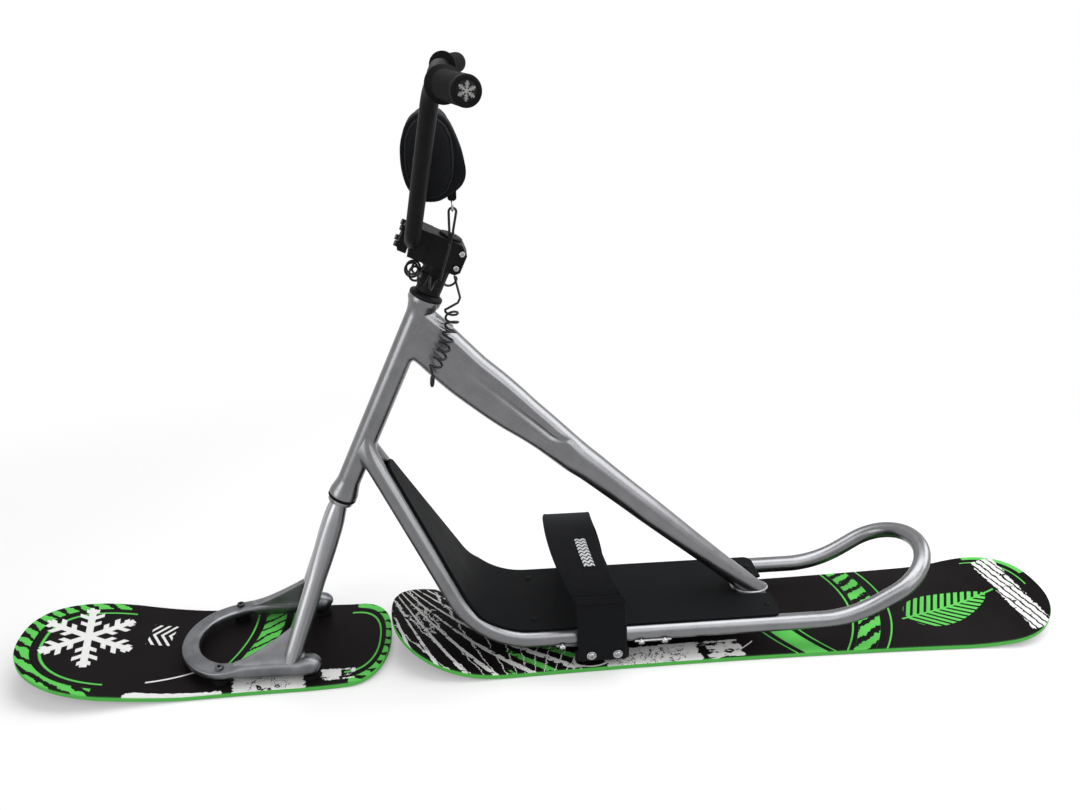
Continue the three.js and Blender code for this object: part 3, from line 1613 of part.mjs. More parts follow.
studPlaces.forEach(([x, y]) => {
  const name = (x === mountX[0] ? "front" : "rear") + (y < 0 ? "_left" : "_right");
  const damper = cut(
    disc(rearDamperRadius, rearBoardThickness + fit, mountFloorZ - fit, 2 * smallSides),
    disc(studRadius + fit, 0, mountFloorZ + overrun),
  );
  add("rear_damper_" + name, moved(damper, x, y, 0), rubber);
});

railBoltPlaces().forEach(([x, side], i) => {
  const seat = railRadius + fit + mountThickness + fit;
  const bolt = turned(
    [
      [0, seat - railBoltLength],
      [railBoltShank, seat - railBoltLength],
      [railBoltShank, seat],
      ...railBoltDomeShares.map(([girth, up]) => [railBoltRadius * girth, seat + railBoltHeight * up]),
      [0, seat + railBoltHeight],
    ],
    smallSides,
  );
  const placed = aimed(bolt, point(x, side * railHalfSpacing, railZ), railBoltDirection(side));
  add("rail_bolt_" + (side < 0 ? "left" : "right") + "_" + (Math.floor(i / 2) + 1), placed, steel);
});

// Foot strap: two bands on brackets, and a flap that laps over the left one

// How far forward the arch leans where it springs from its uprights.
function springLean(turn) {
  const share = (1 - Math.cos(turn)) / 2;
  return leftSpringLean + (rightSpringLean - leftSpringLean) * share;
}

// A point on the strap's arch: an angle from the left foot over the top, and an offset outwards.
function archPoint(turn, offset) {
  const up = Math.max(Math.sin(turn), 0);
  const leanShare = up ** strapLeanPower;
  const x = strapX - strapLean * leanShare - springLean(turn) * (1 - leanShare);
  const y = -(strapHalfSpan + offset) * Math.cos(turn);
  const z = strapSpringZ + (strapRise + offset) * Math.sin(turn);
  return { x, y, z };
}

// A point on an upright, from the foot at share 0 to the arch at share 1.
function uprightPoint(side, share, offset) {
  const lean = springLean(side < 0 ? 0 : halfTurn) * share ** 2;
  const z = strapFootZ + (strapSpringZ - strapFootZ) * share;
  return { x: strapX - lean, y: side * (strapHalfSpan + offset), z };
}

function bandRing(at, across, inner, outer) {
  const half = across / 2;
  const [a, b] = [at(inner), at(outer)];
  return [
    point(a.x - half, a.y, a.z),
    point(a.x + half, a.y, a.z),
    point(b.x + half, b.y, b.z),
    point(b.x - half, b.y, b.z),
  ];
}

function strapBand(side, toTurn, inner, width) {
  const rings = [0, springMidShare].map((share) =>
    bandRing((offset) => uprightPoint(side, share, offset), width, 0, strapThickness),
  );
  const steps = Math.round(toTurn / strapStep);
  for (let i = 0; i <= steps; i++) {
    const turn = side < 0 ? i * strapStep : halfTurn - i * strapStep;
    const shift = inner * Math.min(1, (2 * i) / steps);
    rings.push(bandRing((offset) => archPoint(turn, offset), width, shift, shift + strapThickness));
  }
  return loft(rings);
}

function strapScrewRoom(x, side) {
  return aimed(
    disc(strapScrewShank + fit, 0, strapHalfSpan + overrun, holeSides),
    point(x, 0, strapScrewZ),
    point(0, side, 0),
  );
}

const flapLayer = strapThickness + fit;

function strapFlap() {
  const ring = (at) => bandRing(at, flapWidth, flapLayer, flapLayer + strapThickness);
  const tipShare = 1 - flapTip / (strapSpringZ - strapFootZ);
  const rings = [ring((offset) => uprightPoint(-1, tipShare, offset))];
  const steps = Math.round(flapHinge / strapStep);
  for (let i = 0; i <= steps; i++) {
    const turn = Math.min(i * strapStep, flapHinge - fit / strapRise);
    rings.push(ring((offset) => archPoint(turn, offset)));
  }
  return loft(rings);
}

const leftHoles = strapScrewX.map((x) => strapScrewRoom(x, -1));
const leftBand = cut(strapBand(-1, strapNearEnd, 0, strapWidth), ...leftHoles);
const rightBand = cut(
  strapBand(1, halfTurn - flapHinge, flapLayer, strapWidth),
  ...strapScrewX.map((x) => strapScrewRoom(x, 1)),
);
add("foot_strap_left_band", leftBand, fabric);
add("foot_strap_right_band", rightBand, fabric);
add("foot_strap_flap", strapFlap(), fabric);

function strapBracket(side) {
  const bracketTopZ = railZ - railRadius - fit;
  const outline = [
    [bracketFrontX, bracketLowZ],
    [bracketRearX, bracketLowZ],
    [bracketRearX, bracketTopZ - bracketShoulder],
    [bracketFrontX, bracketTopZ - bracketShoulder],
  ];
  const outerY = strapHalfSpan - fit;
  const web = uprightPlate(outline, outerY - bracketThickness, outerY);
  const flange = box(
    mountX[0] + mountLength / 2 + frontFlangeGap,
    mountX[1] - mountLength / 2 - rearFlangeGap,
    outerY - bracketFlange,
    outerY - bracketThickness / 2,
    bracketTopZ - bracketThickness,
    bracketTopZ,
  );
  const holes = strapScrewX.map((x) => strapScrewRoom(x, 1));
  const made = cut(join(web, flange), ...holes);
  return side > 0 ? made : mirrored(made);
}

for (const side of [-1, 1]) {
  const name = side < 0 ? "left" : "right";
  add("strap_bracket_" + name, strapBracket(side), blackMetal);
  strapScrewX.forEach((x, i) => {
    const seat = strapHalfSpan + strapThickness + fit;
    const screw = turned(
      [
        [0, seat - strapScrewDepth],
        [strapScrewShank, seat - strapScrewDepth],
        [strapScrewShank, seat],
        [washerRadius, seat],
        [washerRadius, seat + washerThickness],
        [strapScrewRadius, seat + washerThickness],
        [strapScrewRadius * strapScrewTopShare, seat + washerThickness + strapScrewHead],
        [0, seat + washerThickness + strapScrewHead],
      ],
      smallSides,
    );
    const placed = aimed(screw, point(x, 0, strapScrewZ), point(0, side, 0));
    add("strap_screw_" + name + "_" + ["front", "rear"][i], placed, steel);
  });
}

export default model;
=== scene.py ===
import json
from math import acos, ceil, copysign, cos, exp, pi, radians, sin, sqrt, tan

import bmesh
import bpy
from mathutils import Matrix, Vector, noise
from mathutils.bvhtree import BVHTree

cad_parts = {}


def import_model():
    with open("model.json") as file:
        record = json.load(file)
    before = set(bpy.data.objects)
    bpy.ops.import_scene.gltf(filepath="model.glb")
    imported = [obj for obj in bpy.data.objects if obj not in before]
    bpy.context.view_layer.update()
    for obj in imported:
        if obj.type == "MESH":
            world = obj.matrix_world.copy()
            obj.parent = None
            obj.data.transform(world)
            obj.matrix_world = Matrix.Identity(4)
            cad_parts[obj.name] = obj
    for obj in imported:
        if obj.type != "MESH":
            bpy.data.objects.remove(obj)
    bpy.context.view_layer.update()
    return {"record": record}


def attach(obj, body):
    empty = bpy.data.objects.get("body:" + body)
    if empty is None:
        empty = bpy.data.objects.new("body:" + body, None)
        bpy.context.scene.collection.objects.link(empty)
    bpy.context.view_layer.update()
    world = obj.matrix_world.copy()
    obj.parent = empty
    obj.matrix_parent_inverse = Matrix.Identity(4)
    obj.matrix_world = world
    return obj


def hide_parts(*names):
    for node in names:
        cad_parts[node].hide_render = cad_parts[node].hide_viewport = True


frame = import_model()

# Lengths are millimetres until a mesh is made, in the frame of the CAD model.
MM = 0.001
# The clearance between pieces that sit on each other
FIT = 0.3
LEFT, RIGHT = -1, 1
SIDES = ((LEFT, "left"), (RIGHT, "right"))


# Camera, floor and light

def look(obj, place, target):
    obj.location = [v * MM for v in place]
    obj.rotation_euler = (Vector(target) - Vector(place)).to_track_quat("-Z", "Y").to_euler()
    bpy.context.scene.collection.objects.link(obj)
    return obj


def set_camera():
    lens = bpy.data.cameras.new("camera")
    lens.lens = 29.615
    lens.sensor_width = 36
    lens.clip_start = 0.05
    bpy.context.scene.camera = look(
        bpy.data.objects.new("camera", lens), (-155.3, -1250.7, 976.1), (-26.9, 0, 431.3)
    )


def lamp(name, place, target, width, height, power):
    light = bpy.data.lights.new(name, "AREA")
    light.shape = "RECTANGLE"
    light.size = width * MM
    light.size_y = height * MM
    light.energy = power
    return look(bpy.data.objects.new(name, light), place, target)


set_camera()


# Shader sums

def operator(operation):
    """A method that puts a wire, and whatever else it is given, through one kind of sum."""
    return lambda wire, *others: wire.sum(operation, *others)


class Wire:
    """One output of a shader node, with the sums that a pattern is written in."""

    def __init__(self, finish, socket):
        self.finish, self.socket = finish, socket

    def sum(self, operation, *others):
        return self.finish.node("Math", {"operation": operation}, self, *others)

    __add__ = __radd__ = operator("ADD")
    __sub__ = operator("SUBTRACT")
    __mul__ = __rmul__ = __and__ = operator("MULTIPLY")
    __truediv__ = operator("DIVIDE")
    __mod__ = operator("FLOORED_MODULO")
    __pow__ = operator("POWER")
    __abs__ = operator("ABSOLUTE")
    __lt__ = operator("LESS_THAN")
    __gt__ = operator("GREATER_THAN")
    __or__ = most = operator("MAXIMUM")
    least = operator("MINIMUM")
    sine = operator("SINE")
    root = operator("SQRT")

    def __rsub__(self, other):
        return self.finish.node("Math", {"operation": "SUBTRACT"}, other, self)

    def wave(self, period):
        """Up and down in straight slopes between 0 and 1."""
        return abs(self % period - period / 2) * (2 / period)

    def rise(self, low, high):
        """0 below low, 1 above high, and smooth between."""
        return self.finish.node(
            "MapRange", {"interpolation_type": "SMOOTHSTEP"}, self, low, high, 0.0, 1.0
        )

    def within(self, centre, half, soft=0.4):
        """1 inside a band about a centre, with a soft edge."""
        return 1 - abs(self - centre).rise(half - soft, half + soft)


class Finish:
    """A material of one principled shader, and the nodes that feed it."""

    def __init__(self, name, colour=(0.5, 0.5, 0.5), roughness=0.5, metallic=0.0, **fixed):
        self.material = bpy.data.materials.new(name)
        self.material.use_nodes = True
        self.material.diffuse_color = (*colour, 1)
        self.tree = self.material.node_tree
        self.tree.nodes.clear()
        self.shader = self.tree.nodes.new("ShaderNodeBsdfPrincipled")
        self.end = self.tree.nodes.new("ShaderNodeOutputMaterial")
        self.tree.links.new(self.shader.outputs[0], self.end.inputs["Surface"])
        self.set(Base_Color=colour, Roughness=roughness, Metallic=metallic, **fixed)

    def feed(self, socket, value):
        if isinstance(value, Wire):
            self.tree.links.new(value.socket, socket)
        elif socket.type == "RGBA" and len(value) == 3:
            socket.default_value = (*value, 1)
        else:
            socket.default_value = value

    def node(self, kind, settings, *values, out=0, **named):
        """A node of a kind, with its settings made first and then the values of its sockets."""
        made = self.tree.nodes.new("ShaderNode" + kind)
        for key, value in settings.items():
            setattr(made, key, value)
        for socket, value in zip([s for s in made.inputs if s.enabled], values):
            self.feed(socket, value)
        for key, value in named.items():
            self.feed(made.inputs[key.replace("_", " ")], value)
        return Wire(self, [s for s in made.outputs if s.enabled][out])

    def set(self, **values):
        for key, value in values.items():
            self.feed(self.shader.inputs[key.replace("_", " ")], value)
        return self

    def place(self, run=False):
        """Where the point is, in metres: in space, or along the unbent piece."""
        if run:
            return self.node("Attribute", {"attribute_name": "run"}, out=1)
        return self.node("TexCoord", {}, out=3)

    def parts(self, vector):
        split = self.node("SeparateXYZ", {}, vector).socket.node
        return [Wire(self, s) for s in split.outputs]

    def stretch(self, vector, x, y, z):
        return self.node("VectorMath", {"operation": "MULTIPLY"}, vector, (x, y, z))

    def grain(self, scale, detail=3.0, roughness=0.55, at=None, warp=0.0):
        return self.node(
            "TexNoise", {}, Vector=self.place() if at is None else at,
            Scale=scale, Detail=detail, Roughness=roughness, Distortion=warp,
        )

    def cells(self, scale, at):
        return self.node("TexVoronoi", {}, Vector=at, Scale=scale)

    def blend(self, share, first, second):
        return self.node("Mix", {"data_type": "RGBA"}, share, first, second)

    def relief(self, height, strength, depth):
        return self.node("Bump", {}, Height=height, Strength=strength, Distance=depth)


def grey(value):
    return (value, value, value)


# How much brighter than its own colour the lamps show a matt face
LAMP_GAIN = 1.68


def shade(r, g, b):
    """The linear colour that looks like r, g, b (0 to 255) on a screen once the lamps light it."""
    screen = [v / 255 / 12.92 if v <= 10 else ((v / 255 + 0.055) / 1.055) ** 2.4 for v in (r, g, b)]
    return tuple(v / LAMP_GAIN for v in screen)


# Finishes

def satin_aluminium(name="satin_aluminium", run=True):
    """Brushed round the tube, then clear coated: fine rings, faint streaks and dull handling marks."""
    f = Finish(name, metallic=1.0, Coat_Weight=0.2, Coat_Roughness=0.16)
    run = f.place(run=run)
    rings = f.grain(1.0, 2.0, 0.6, at=f.stretch(run, 160, 2600, 160))
    streaks = f.grain(1.0, 3.0, 0.6, at=f.stretch(run, 420, 14, 420))
    clouds = f.grain(38.0, 4.0, 0.6, at=run)
    marks = f.grain(150.0, 2.0, 0.5, at=run).rise(0.62, 0.72)
    tone = 0.86 + 0.16 * clouds + 0.08 * rings + 0.08 * streaks
    base = f.blend(tone.rise(0.92, 1.12), (0.128, 0.1288, 0.1344), (0.1824, 0.18354, 0.19152))
    f.set(Base_Color=base, Roughness=0.18 + 0.14 * clouds + 0.1 * streaks + 0.07 * marks)
    return f.set(Normal=f.relief(rings + 0.5 * streaks, 0.08, 0.0004))


def polished_steel():
    """Buffed lengthwise, with fine lines along the tube, and long soft bands of light and dark painted into
    its colour as reflections.
    """
    f = Finish("polished_steel", metallic=1.0, Coat_Weight=0.15, Coat_Roughness=0.1)
    run = f.place(run=True)
    # Painted reflections: long bands of light and dark along the tube, which also give a faint relief
    painted_reflection_bands = f.grain(1.0, 2.0, 0.5, at=f.stretch(run, 95, 1.6, 95))
    lines = f.grain(1.0, 2.0, 0.5, at=f.stretch(run, 420, 5, 420))
    clouds = f.grain(24.0, 3.0, 0.6, at=run)
    base = f.blend((painted_reflection_bands + 0.12 * lines).rise(0.4, 0.72), (0.12, 0.122, 0.13), (0.3, 0.3, 0.31))
    f.set(Base_Color=base, Roughness=0.23 + 0.1 * clouds + 0.05 * lines)
    return f.set(Normal=f.relief(0.5 * lines + 0.6 * painted_reflection_bands, 0.05, 0.0004))


def cast_aluminium(
    name="cast_aluminium", low=(0.092, 0.094, 0.1), high=(0.14, 0.142, 0.15), roughness=0.34
):
    """Tumbled casting: soft pebbled skin, polished on its crowns."""
    f = Finish(name, metallic=1.0, Coat_Weight=0.15, Coat_Roughness=0.25)
    place = f.place()
    pebble = f.grain(420.0, 3.0, 0.6, at=place)
    dents = f.cells(190.0, place)
    clouds = f.grain(30.0, 4.0, 0.55, at=place)
    worn = f.node("NewGeometry", {}, out=7).rise(0.49, 0.56)
    base = f.blend(clouds.rise(0.3, 0.7), low, high)
    f.set(Base_Color=base, Roughness=roughness + 0.14 * clouds - 0.08 * worn)
    return f.set(Normal=f.relief(pebble * 0.6 + dents * 0.5, 0.2, 0.0006))


def weld_metal():
    f = Finish("weld_metal", metallic=1.0)
    clouds = f.grain(90.0, 3.0)
    f.set(Base_Color=f.blend(clouds.rise(0.35, 0.65), (0.17, 0.17, 0.178), (0.25, 0.25, 0.258)))
    return f.set(Roughness=0.3 + 0.2 * clouds, Normal=f.relief(f.grain(700.0), 0.15, 0.0004))


def black_metal():
    """Anodised black, rubbed a little paler in clouds."""
    f = Finish("black_metal", Specular_IOR_Level=0.1)
    clouds = f.grain(60.0, 4.0)
    speck = f.grain(900.0, 2.0)
    f.set(Base_Color=f.blend(clouds.rise(0.4, 0.75), shade(10, 10, 12), shade(17, 18, 20)))
    return f.set(Roughness=0.42 + 0.16 * clouds, Normal=f.relief(speck, 0.1, 0.0003))


def turned_steel(name="bright_steel", low=(0.26, 0.26, 0.27), high=(0.42, 0.42, 0.43)):
    f = Finish(name, metallic=1.0)
    turning = f.grain(1.0, 2.0, at=f.stretch(f.place(), 900, 900, 2400))
    clouds = f.grain(140.0, 3.0)
    f.set(Base_Color=f.blend(clouds.rise(0.35, 0.7), low, high))
    return f.set(Roughness=0.2 + 0.16 * clouds, Normal=f.relief(turning, 0.08, 0.0003))


def rubber(name="rubber", low=(10, 10, 11), high=(17, 17, 18)):
    f = Finish(name, Specular_IOR_Level=0.08)
    skin = f.grain(1500.0, 2.0)
    dust = f.grain(45.0, 4.0, 0.6)
    f.set(Base_Color=f.blend(dust.rise(0.45, 0.75), shade(*low), shade(*high)))
    return f.set(Roughness=0.62 + 0.2 * dust, Normal=f.relief(skin, 0.2, 0.0004))


def deck_coating():
    """Textured powder coat: fine grit, scuffed paler where boots stand."""
    f = Finish("deck_coating", Specular_IOR_Level=0.05)
    place = f.place()
    grit = f.cells(1100.0, place)
    fine = f.grain(1900.0, 2.0, at=place)
    scuffs = f.grain(1.0, 4.0, 0.65, at=f.stretch(place, 26, 90, 26)).rise(0.56, 0.8)
    clouds = f.grain(14.0, 3.0, at=place)
    base = f.blend(scuffs * 0.6 + clouds * 0.25, shade(11, 12, 14), shade(27, 29, 32))
    f.set(Base_Color=base, Roughness=0.5 + 0.18 * clouds + 0.1 * scuffs)
    return f.set(Normal=f.relief(grit * 0.8 + fine * 0.4, 0.32, 0.0006))


def webbing():
    """Woven ribbed band."""
    f = Finish("webbing", Specular_IOR_Level=0.1, Sheen_Weight=0.04, Sheen_Roughness=0.5,
               Sheen_Tint=(0.6, 0.62, 0.7, 1))
    pitch = 0.0021
    run = f.place(run=True)
    across, along, _ = f.parts(run)
    ribs = along.wave(pitch)
    warp = (across + (along / pitch).sum("FLOOR") * (pitch * 0.5)).wave(pitch)
    weave = ribs * 0.6 + warp * 0.5
    fuzz = f.grain(900.0, 3.0, at=run)
    wear = f.grain(28.0, 4.0, at=run)
    tone = (weave * 0.45 + fuzz * 0.3 + wear * 0.4).rise(0.35, 1.0)
    base = f.blend(tone, shade(9, 10, 12), shade(22, 23, 27))
    f.set(Base_Color=base, Roughness=0.82 + 0.1 * fuzz)
    return f.set(Normal=f.relief(weave + fuzz * 0.5, 0.5, 0.0007))


def padding_cloth():
    """Tight nylon cloth over foam: plain weave, slack in slow waves."""
    f = Finish("padding_cloth", Specular_IOR_Level=0.1, Sheen_Weight=0.03, Sheen_Roughness=0.4,
               Sheen_Tint=(0.6, 0.62, 0.7, 1))
    place = f.place()
    _, y, z = f.parts(place)
    weave = y.wave(0.0016) * z.wave(0.0016)
    fuzz = f.grain(800.0, 3.0, at=place)
    slack = f.grain(22.0, 3.0, 0.5, at=place)
    tone = (fuzz * 0.5 + slack * 0.5).rise(0.35, 0.7)
    f.set(Base_Color=f.blend(tone, shade(10, 11, 14), shade(20, 21, 25)))
    f.set(Roughness=0.66 + 0.16 * fuzz)
    return f.set(Normal=f.relief(weave * 0.5 + slack * 5 + fuzz * 0.4, 0.35, 0.001))


def label_weave():
    """A black satin label with pale zigzag rows woven in."""
    f = Finish("label_weave", roughness=0.7, Specular_IOR_Level=0.1)
    across, along, _ = f.parts(f.place(run=True))
    zigzag = (along + across.wave(0.0095) * 0.0042).wave(0.0062) > 0.4
    inside = (abs(across) < 0.0088) & (along > 0.002)
    fibre = f.grain(1600.0, 2.0, at=f.place(run=True))
    pale = f.blend(fibre, shade(190, 192, 196), shade(228, 229, 232))
    f.set(Base_Color=f.blend(zigzag & inside, shade(16, 17, 19), pale))
    return f.set(Normal=f.relief(fibre + zigzag * 0.4, 0.4, 0.0005))


def thread(name, colour):
    f = Finish(name, roughness=0.7, Specular_IOR_Level=0.15)
    twist = f.grain(1600.0, 2.0)
    f.set(Base_Color=f.blend(twist.rise(0.3, 0.7), tuple(0.7 * c for c in colour), colour))
    return f.set(Normal=f.relief(twist, 0.4, 0.0004))


def cord_plastic():
    f = Finish("cord_plastic", Specular_IOR_Level=0.25)
    clouds = f.grain(120.0, 3.0)
    f.set(Base_Color=f.blend(clouds.rise(0.4, 0.7), shade(9, 9, 11), shade(18, 18, 21)))
    return f.set(Roughness=0.3 + 0.15 * clouds, Normal=f.relief(f.grain(1300.0), 0.08, 0.0003))


# Each board: x of nose and tail, half widths at nose, waist and tail, lengths of the rounded ends
FRONT_ENDS, FRONT_HALVES, FRONT_ROUNDS = (-872, -281), (117, 108, 105), (150, 72)
REAR_ENDS, REAR_HALVES, REAR_ROUNDS = (-277, 872), (112, 106, 120), (150, 105)
BOARD_THICK = 9
BOARD_ROUND_POWER = 2.4

BOARD_BLACK = shade(20, 17, 18)
BOARD_GREEN = shade(110, 218, 102)
BOARD_WHITE = shade(250, 250, 248)


class Print:
    """Masks that a board's print is drawn with, in millimetres over the board."""

    def __init__(self, finish):
        self.f = finish
        place = finish.place()
        self.x, self.y = [1000 * part for part in finish.parts(place)[:2]]
        self.place = place
        self.rough = finish.grain(60.0, 4.0, 0.65, at=place)
        self.scratch = finish.grain(1.0, 4.0, 0.7, at=finish.stretch(place, 9, 130, 1))

    def seen_from(self, x, y, turn):
        """The board's place about a centre, turned by an angle in degrees."""
        c, s = cos(radians(turn)), sin(radians(turn))
        dx, dy = self.x - x, self.y - y
        return dx * c + dy * s, dy * c - dx * s

    def crystal(self, x, y, reach, stroke, turn):
        """A six-armed snow crystal with three pairs of barbs an arm."""
        u, v = self.seen_from(x, y, turn)
        far = (u * u + v * v).root()
        angle = self.f.node("Math", {"operation": "ARCTAN2"}, v, u)
        folded = abs(angle % (pi / 3) - pi / 6)
        fold_cos = folded.sum("COSINE") * far
        fold_sin = folded.sine() * far
        shape = fold_sin.within(0, stroke) & (fold_cos < reach)
        for at, length in ((0.36, 0.2), (0.6, 0.24), (0.82, 0.13)):
            barb = ((fold_cos - at * reach) * sin(pi / 3) - fold_sin * cos(pi / 3)).within(0, stroke * 0.72)
            shape = shape | (barb & (fold_sin < length * reach))
        return shape

    def feather(self, x, y, reach, spread, turn, pitch):
        """A sprig: a stem with slanted leaflets that lengthen and shorten again."""
        u, v = self.seen_from(x, y, turn)
        side = abs(v)
        share = (u / reach).least(1.0).most(0.0)
        edge = (share * (1 - share) * 4).root() * spread * (0.55 + 0.6 * (1 - share))
        leaf = (u - side * 0.9).wave(pitch) > 0.42
        stem = v.within(0, 1.7) & ((u < reach * 1.12) & (u > -12))
        inside = (side < edge) & ((u > 0) & (u < reach))
        return (leaf & inside) | stem

    def dabs(self, x0, x1, y0, y1, cover, soft=14.0):
        """A ragged patch of paint between two places each way."""
        spread = self.x.within((x0 + x1) / 2, (x1 - x0) / 2, soft) * self.y.within(
            (y0 + y1) / 2, (y1 - y0) / 2, soft * 0.6
        )
        return (spread + (self.rough - 0.5) * 1.5 + (self.scratch - 0.5) * 1.1) > cover


def board_print(name, draw):
    """Printed top under a clear sheet, green sidewalls and a black base."""
    f = Finish(name, roughness=0.4, Specular_IOR_Level=0.03)
    p = Print(f)
    green, white, cut_out = draw(p)
    speckle = f.grain(500.0, 2.0)
    clouds = f.grain(9.0, 3.0)
    ground = f.blend(clouds.rise(0.3, 0.75), BOARD_BLACK, shade(27, 23, 24))
    leaf = f.blend(clouds, BOARD_GREEN, shade(98, 206, 92))
    top = f.blend(green & (1 - cut_out), ground, leaf)
    pale = f.blend(speckle.rise(0.3, 0.7), BOARD_WHITE, shade(238, 239, 238))
    top = f.blend(white & (1 - cut_out), top, pale)
    facing = f.parts(f.node("NewGeometry", {}, out=1))[2]
    side = 1 - abs(facing).rise(0.55, 0.75)
    under = facing < -0.5
    base = f.blend(under, top, shade(26, 25, 27))
    f.set(Base_Color=f.blend(side, base, leaf))
    f.set(Roughness=0.34 + 0.12 * clouds + 0.1 * (1 - speckle.rise(0.2, 0.5)) + 0.15 * side)
    return f.set(Normal=f.relief(f.grain(260.0, 2.0) * 0.6 + f.grain(30.0), 0.05, 0.0006))


def cap_print():
    """The grips' end caps: a pale snow crystal on black."""
    f = Finish("cap_print", roughness=0.5, Specular_IOR_Level=0.1)
    p = Print(f)
    across, _, up = f.parts(f.place(run=True))
    p.x, p.y = 1000 * across, 1000 * up
    worn = f.grain(400.0, 3.0)
    crystal = p.crystal(0, 0, 9.8, 0.75, 20) & (worn > 0.32)
    pale = f.blend(worn, shade(140, 140, 138), shade(190, 190, 187))
    f.set(Base_Color=f.blend(crystal, shade(17, 18, 20), pale))
    return f.set(Roughness=0.45 + 0.2 * worn, Normal=f.relief(worn, 0.1, 0.0003))


def end_share(p, end, length, half):
    """1 on the edge of a board's rounded end, less inside it. The length is negative at a nose."""
    reach = (p.x - (end - length)) / length
    return reach.most(0.0) ** BOARD_ROUND_POWER + (abs(p.y) / half) ** BOARD_ROUND_POWER


def front_print(p):
    nose = end_share(p, FRONT_ENDS[0], -FRONT_ROUNDS[0], FRONT_HALVES[0])
    tail = end_share(p, FRONT_ENDS[1], FRONT_ROUNDS[1], FRONT_HALVES[2])
    teeth = (p.y + p.x * 0.55 + p.rough * 20).wave(22.0)
    nose_band = (nose > 0.70) & (p.x < -735)
    nose_teeth = (teeth > (1.42 - nose)) & nose_band
    nose_line = nose.within(0.53, 0.022, 0.008) & (p.x < -722)
    tail_band = (tail > 0.72) & (p.x > -345)
    tail_teeth = (teeth > (1.55 - tail)) & tail_band
    tail_line = tail.within(0.5, 0.03, 0.01) & (p.x > -353)
    bow = p.x + p.y * p.y * 0.0022 - p.y * 0.32
    cross = bow.within(-497, 17) & (p.y > -38)
    cross_teeth = ((p.y * 0.9 - p.x * 0.7 + p.rough * 16).wave(19.0) > 0.72) & cross
    lines = bow.within(-528, 1.5) | (bow.within(-466, 1.5) & (p.y > -60))
    green = nose_band | tail_band | nose_line | tail_line | cross | (lines & (p.y > -64))
    crystal = p.crystal(-778, 20, 76, 5.4, 12)
    u, v = p.seen_from(-668, 38, 88)
    chevrons = ((v + abs(u) * 0.7).wave(13.0) > 0.6) & ((abs(u) < 26) & (abs(v) < 19))
    patch = p.dabs(-528, -412, -122, -62, 0.62)
    smear = p.dabs(-690, -535, -122, -102, 0.72, 8.0)
    stroke = (p.y + 62 - (p.x + 610) * 0.42 - (p.x + 610) * (p.x + 610) * 0.0016).within(0, 1.7) & (
        p.x.within(-612, 50)
    )
    flecks = p.dabs(-395, -330, -98, -66, 0.93, 10.0)
    white = crystal | chevrons | patch | smear | stroke | flecks
    tangle = p.f.grain(44.0, 2.0, 0.5, at=p.place, warp=2.0).within(0.5, 0.024, 0.01)
    scribble = tangle & p.dabs(-505, -440, -112, -74, 0.55)
    return green, white, scribble | nose_teeth | tail_teeth | cross_teeth


def rear_print(p):
    tail = end_share(p, REAR_ENDS[1], REAR_ROUNDS[1], REAR_HALVES[2])
    teeth = (p.y * 0.9 - p.x * 0.6 + p.rough * 22).wave(25.0)
    bow = p.x - p.y * p.y * 0.0024 + p.y * 0.3
    band = bow.within(366, 19) & (p.y < 20)
    lines = bow.within(334, 1.6) | bow.within(398, 1.6)
    bow2 = p.x + p.y * p.y * 0.0026 - p.y * 0.18
    band2 = bow2.within(560, 20)
    band2_teeth = (teeth > 0.55) & band2
    lines2 = bow2.within(530, 1.6) | bow2.within(600, 1.6)
    corner = (tail > 0.84) & ((p.x > 800) & (p.y > 30))
    tail_line = tail.within(0.68, 0.018, 0.006) & ((p.x > 790) & (p.y > 0))
    sprig = p.feather(622, -34, 168, 46, 14, 15.0)
    fan_turn = p.f.node("Math", {"operation": "ARCTAN2"}, p.y - 130, p.x + 330)
    rays = (fan_turn * 52 + p.rough * 1.6).sine()
    blots = p.dabs(-98, 38, -112, -46, 0.86) & (rays < -0.75)
    green = band | lines | band2 | lines2 | corner | tail_line | sprig | blots
    cross_turn = p.f.node("Math", {"operation": "ARCTAN2"}, p.y + 210, p.x + 60)
    splinters = (cross_turn * 43 + p.rough * 5).sine() > 0.97
    splinters = splinters & p.dabs(-280, 40, -120, 100, 0.8, 26.0)
    swept_paint = (p.dabs(-290, 40, -125, 110, 0.86, 30.0) & (rays > 0.78)) | splinters
    clots = p.dabs(-262, -185, -40, 50, 0.94, 26.0) & p.rough.within(0.5, 0.03, 0.012)
    patch = p.dabs(70, 235, -120, -62, 0.66)
    ticks = p.dabs(238, 312, -108, -58, 0.96, 12.0)
    streak = (p.x * 0.9 + p.y * 0.12 + p.rough * 9).wave(9.0) > 0.3
    streak = p.dabs(806, 846, -108, 96, 0.7, 6.0) & streak
    bow_line = (p.y + 108 - (p.x - 232) * (p.x - 232) * 0.0042).within(0, 1.3)
    bow_line = bow_line & p.x.within(280, 48)
    u, v = p.x - 48, p.y + 92
    loops = (u * u * 0.22 + v * v).root().within(13, 1.3)
    loops = loops | ((u - 40) * (u - 40) * 0.3 + v * v).root().within(9, 1.1)
    white = swept_paint | clots | patch | ticks | streak | bow_line | loops
    tangle = p.f.grain(38.0, 2.0, 0.5, at=p.place, warp=2.4).within(0.5, 0.024, 0.01)
    scribble = tangle & p.dabs(90, 210, -112, -70, 0.6)
    return green, white, scribble | band2_teeth


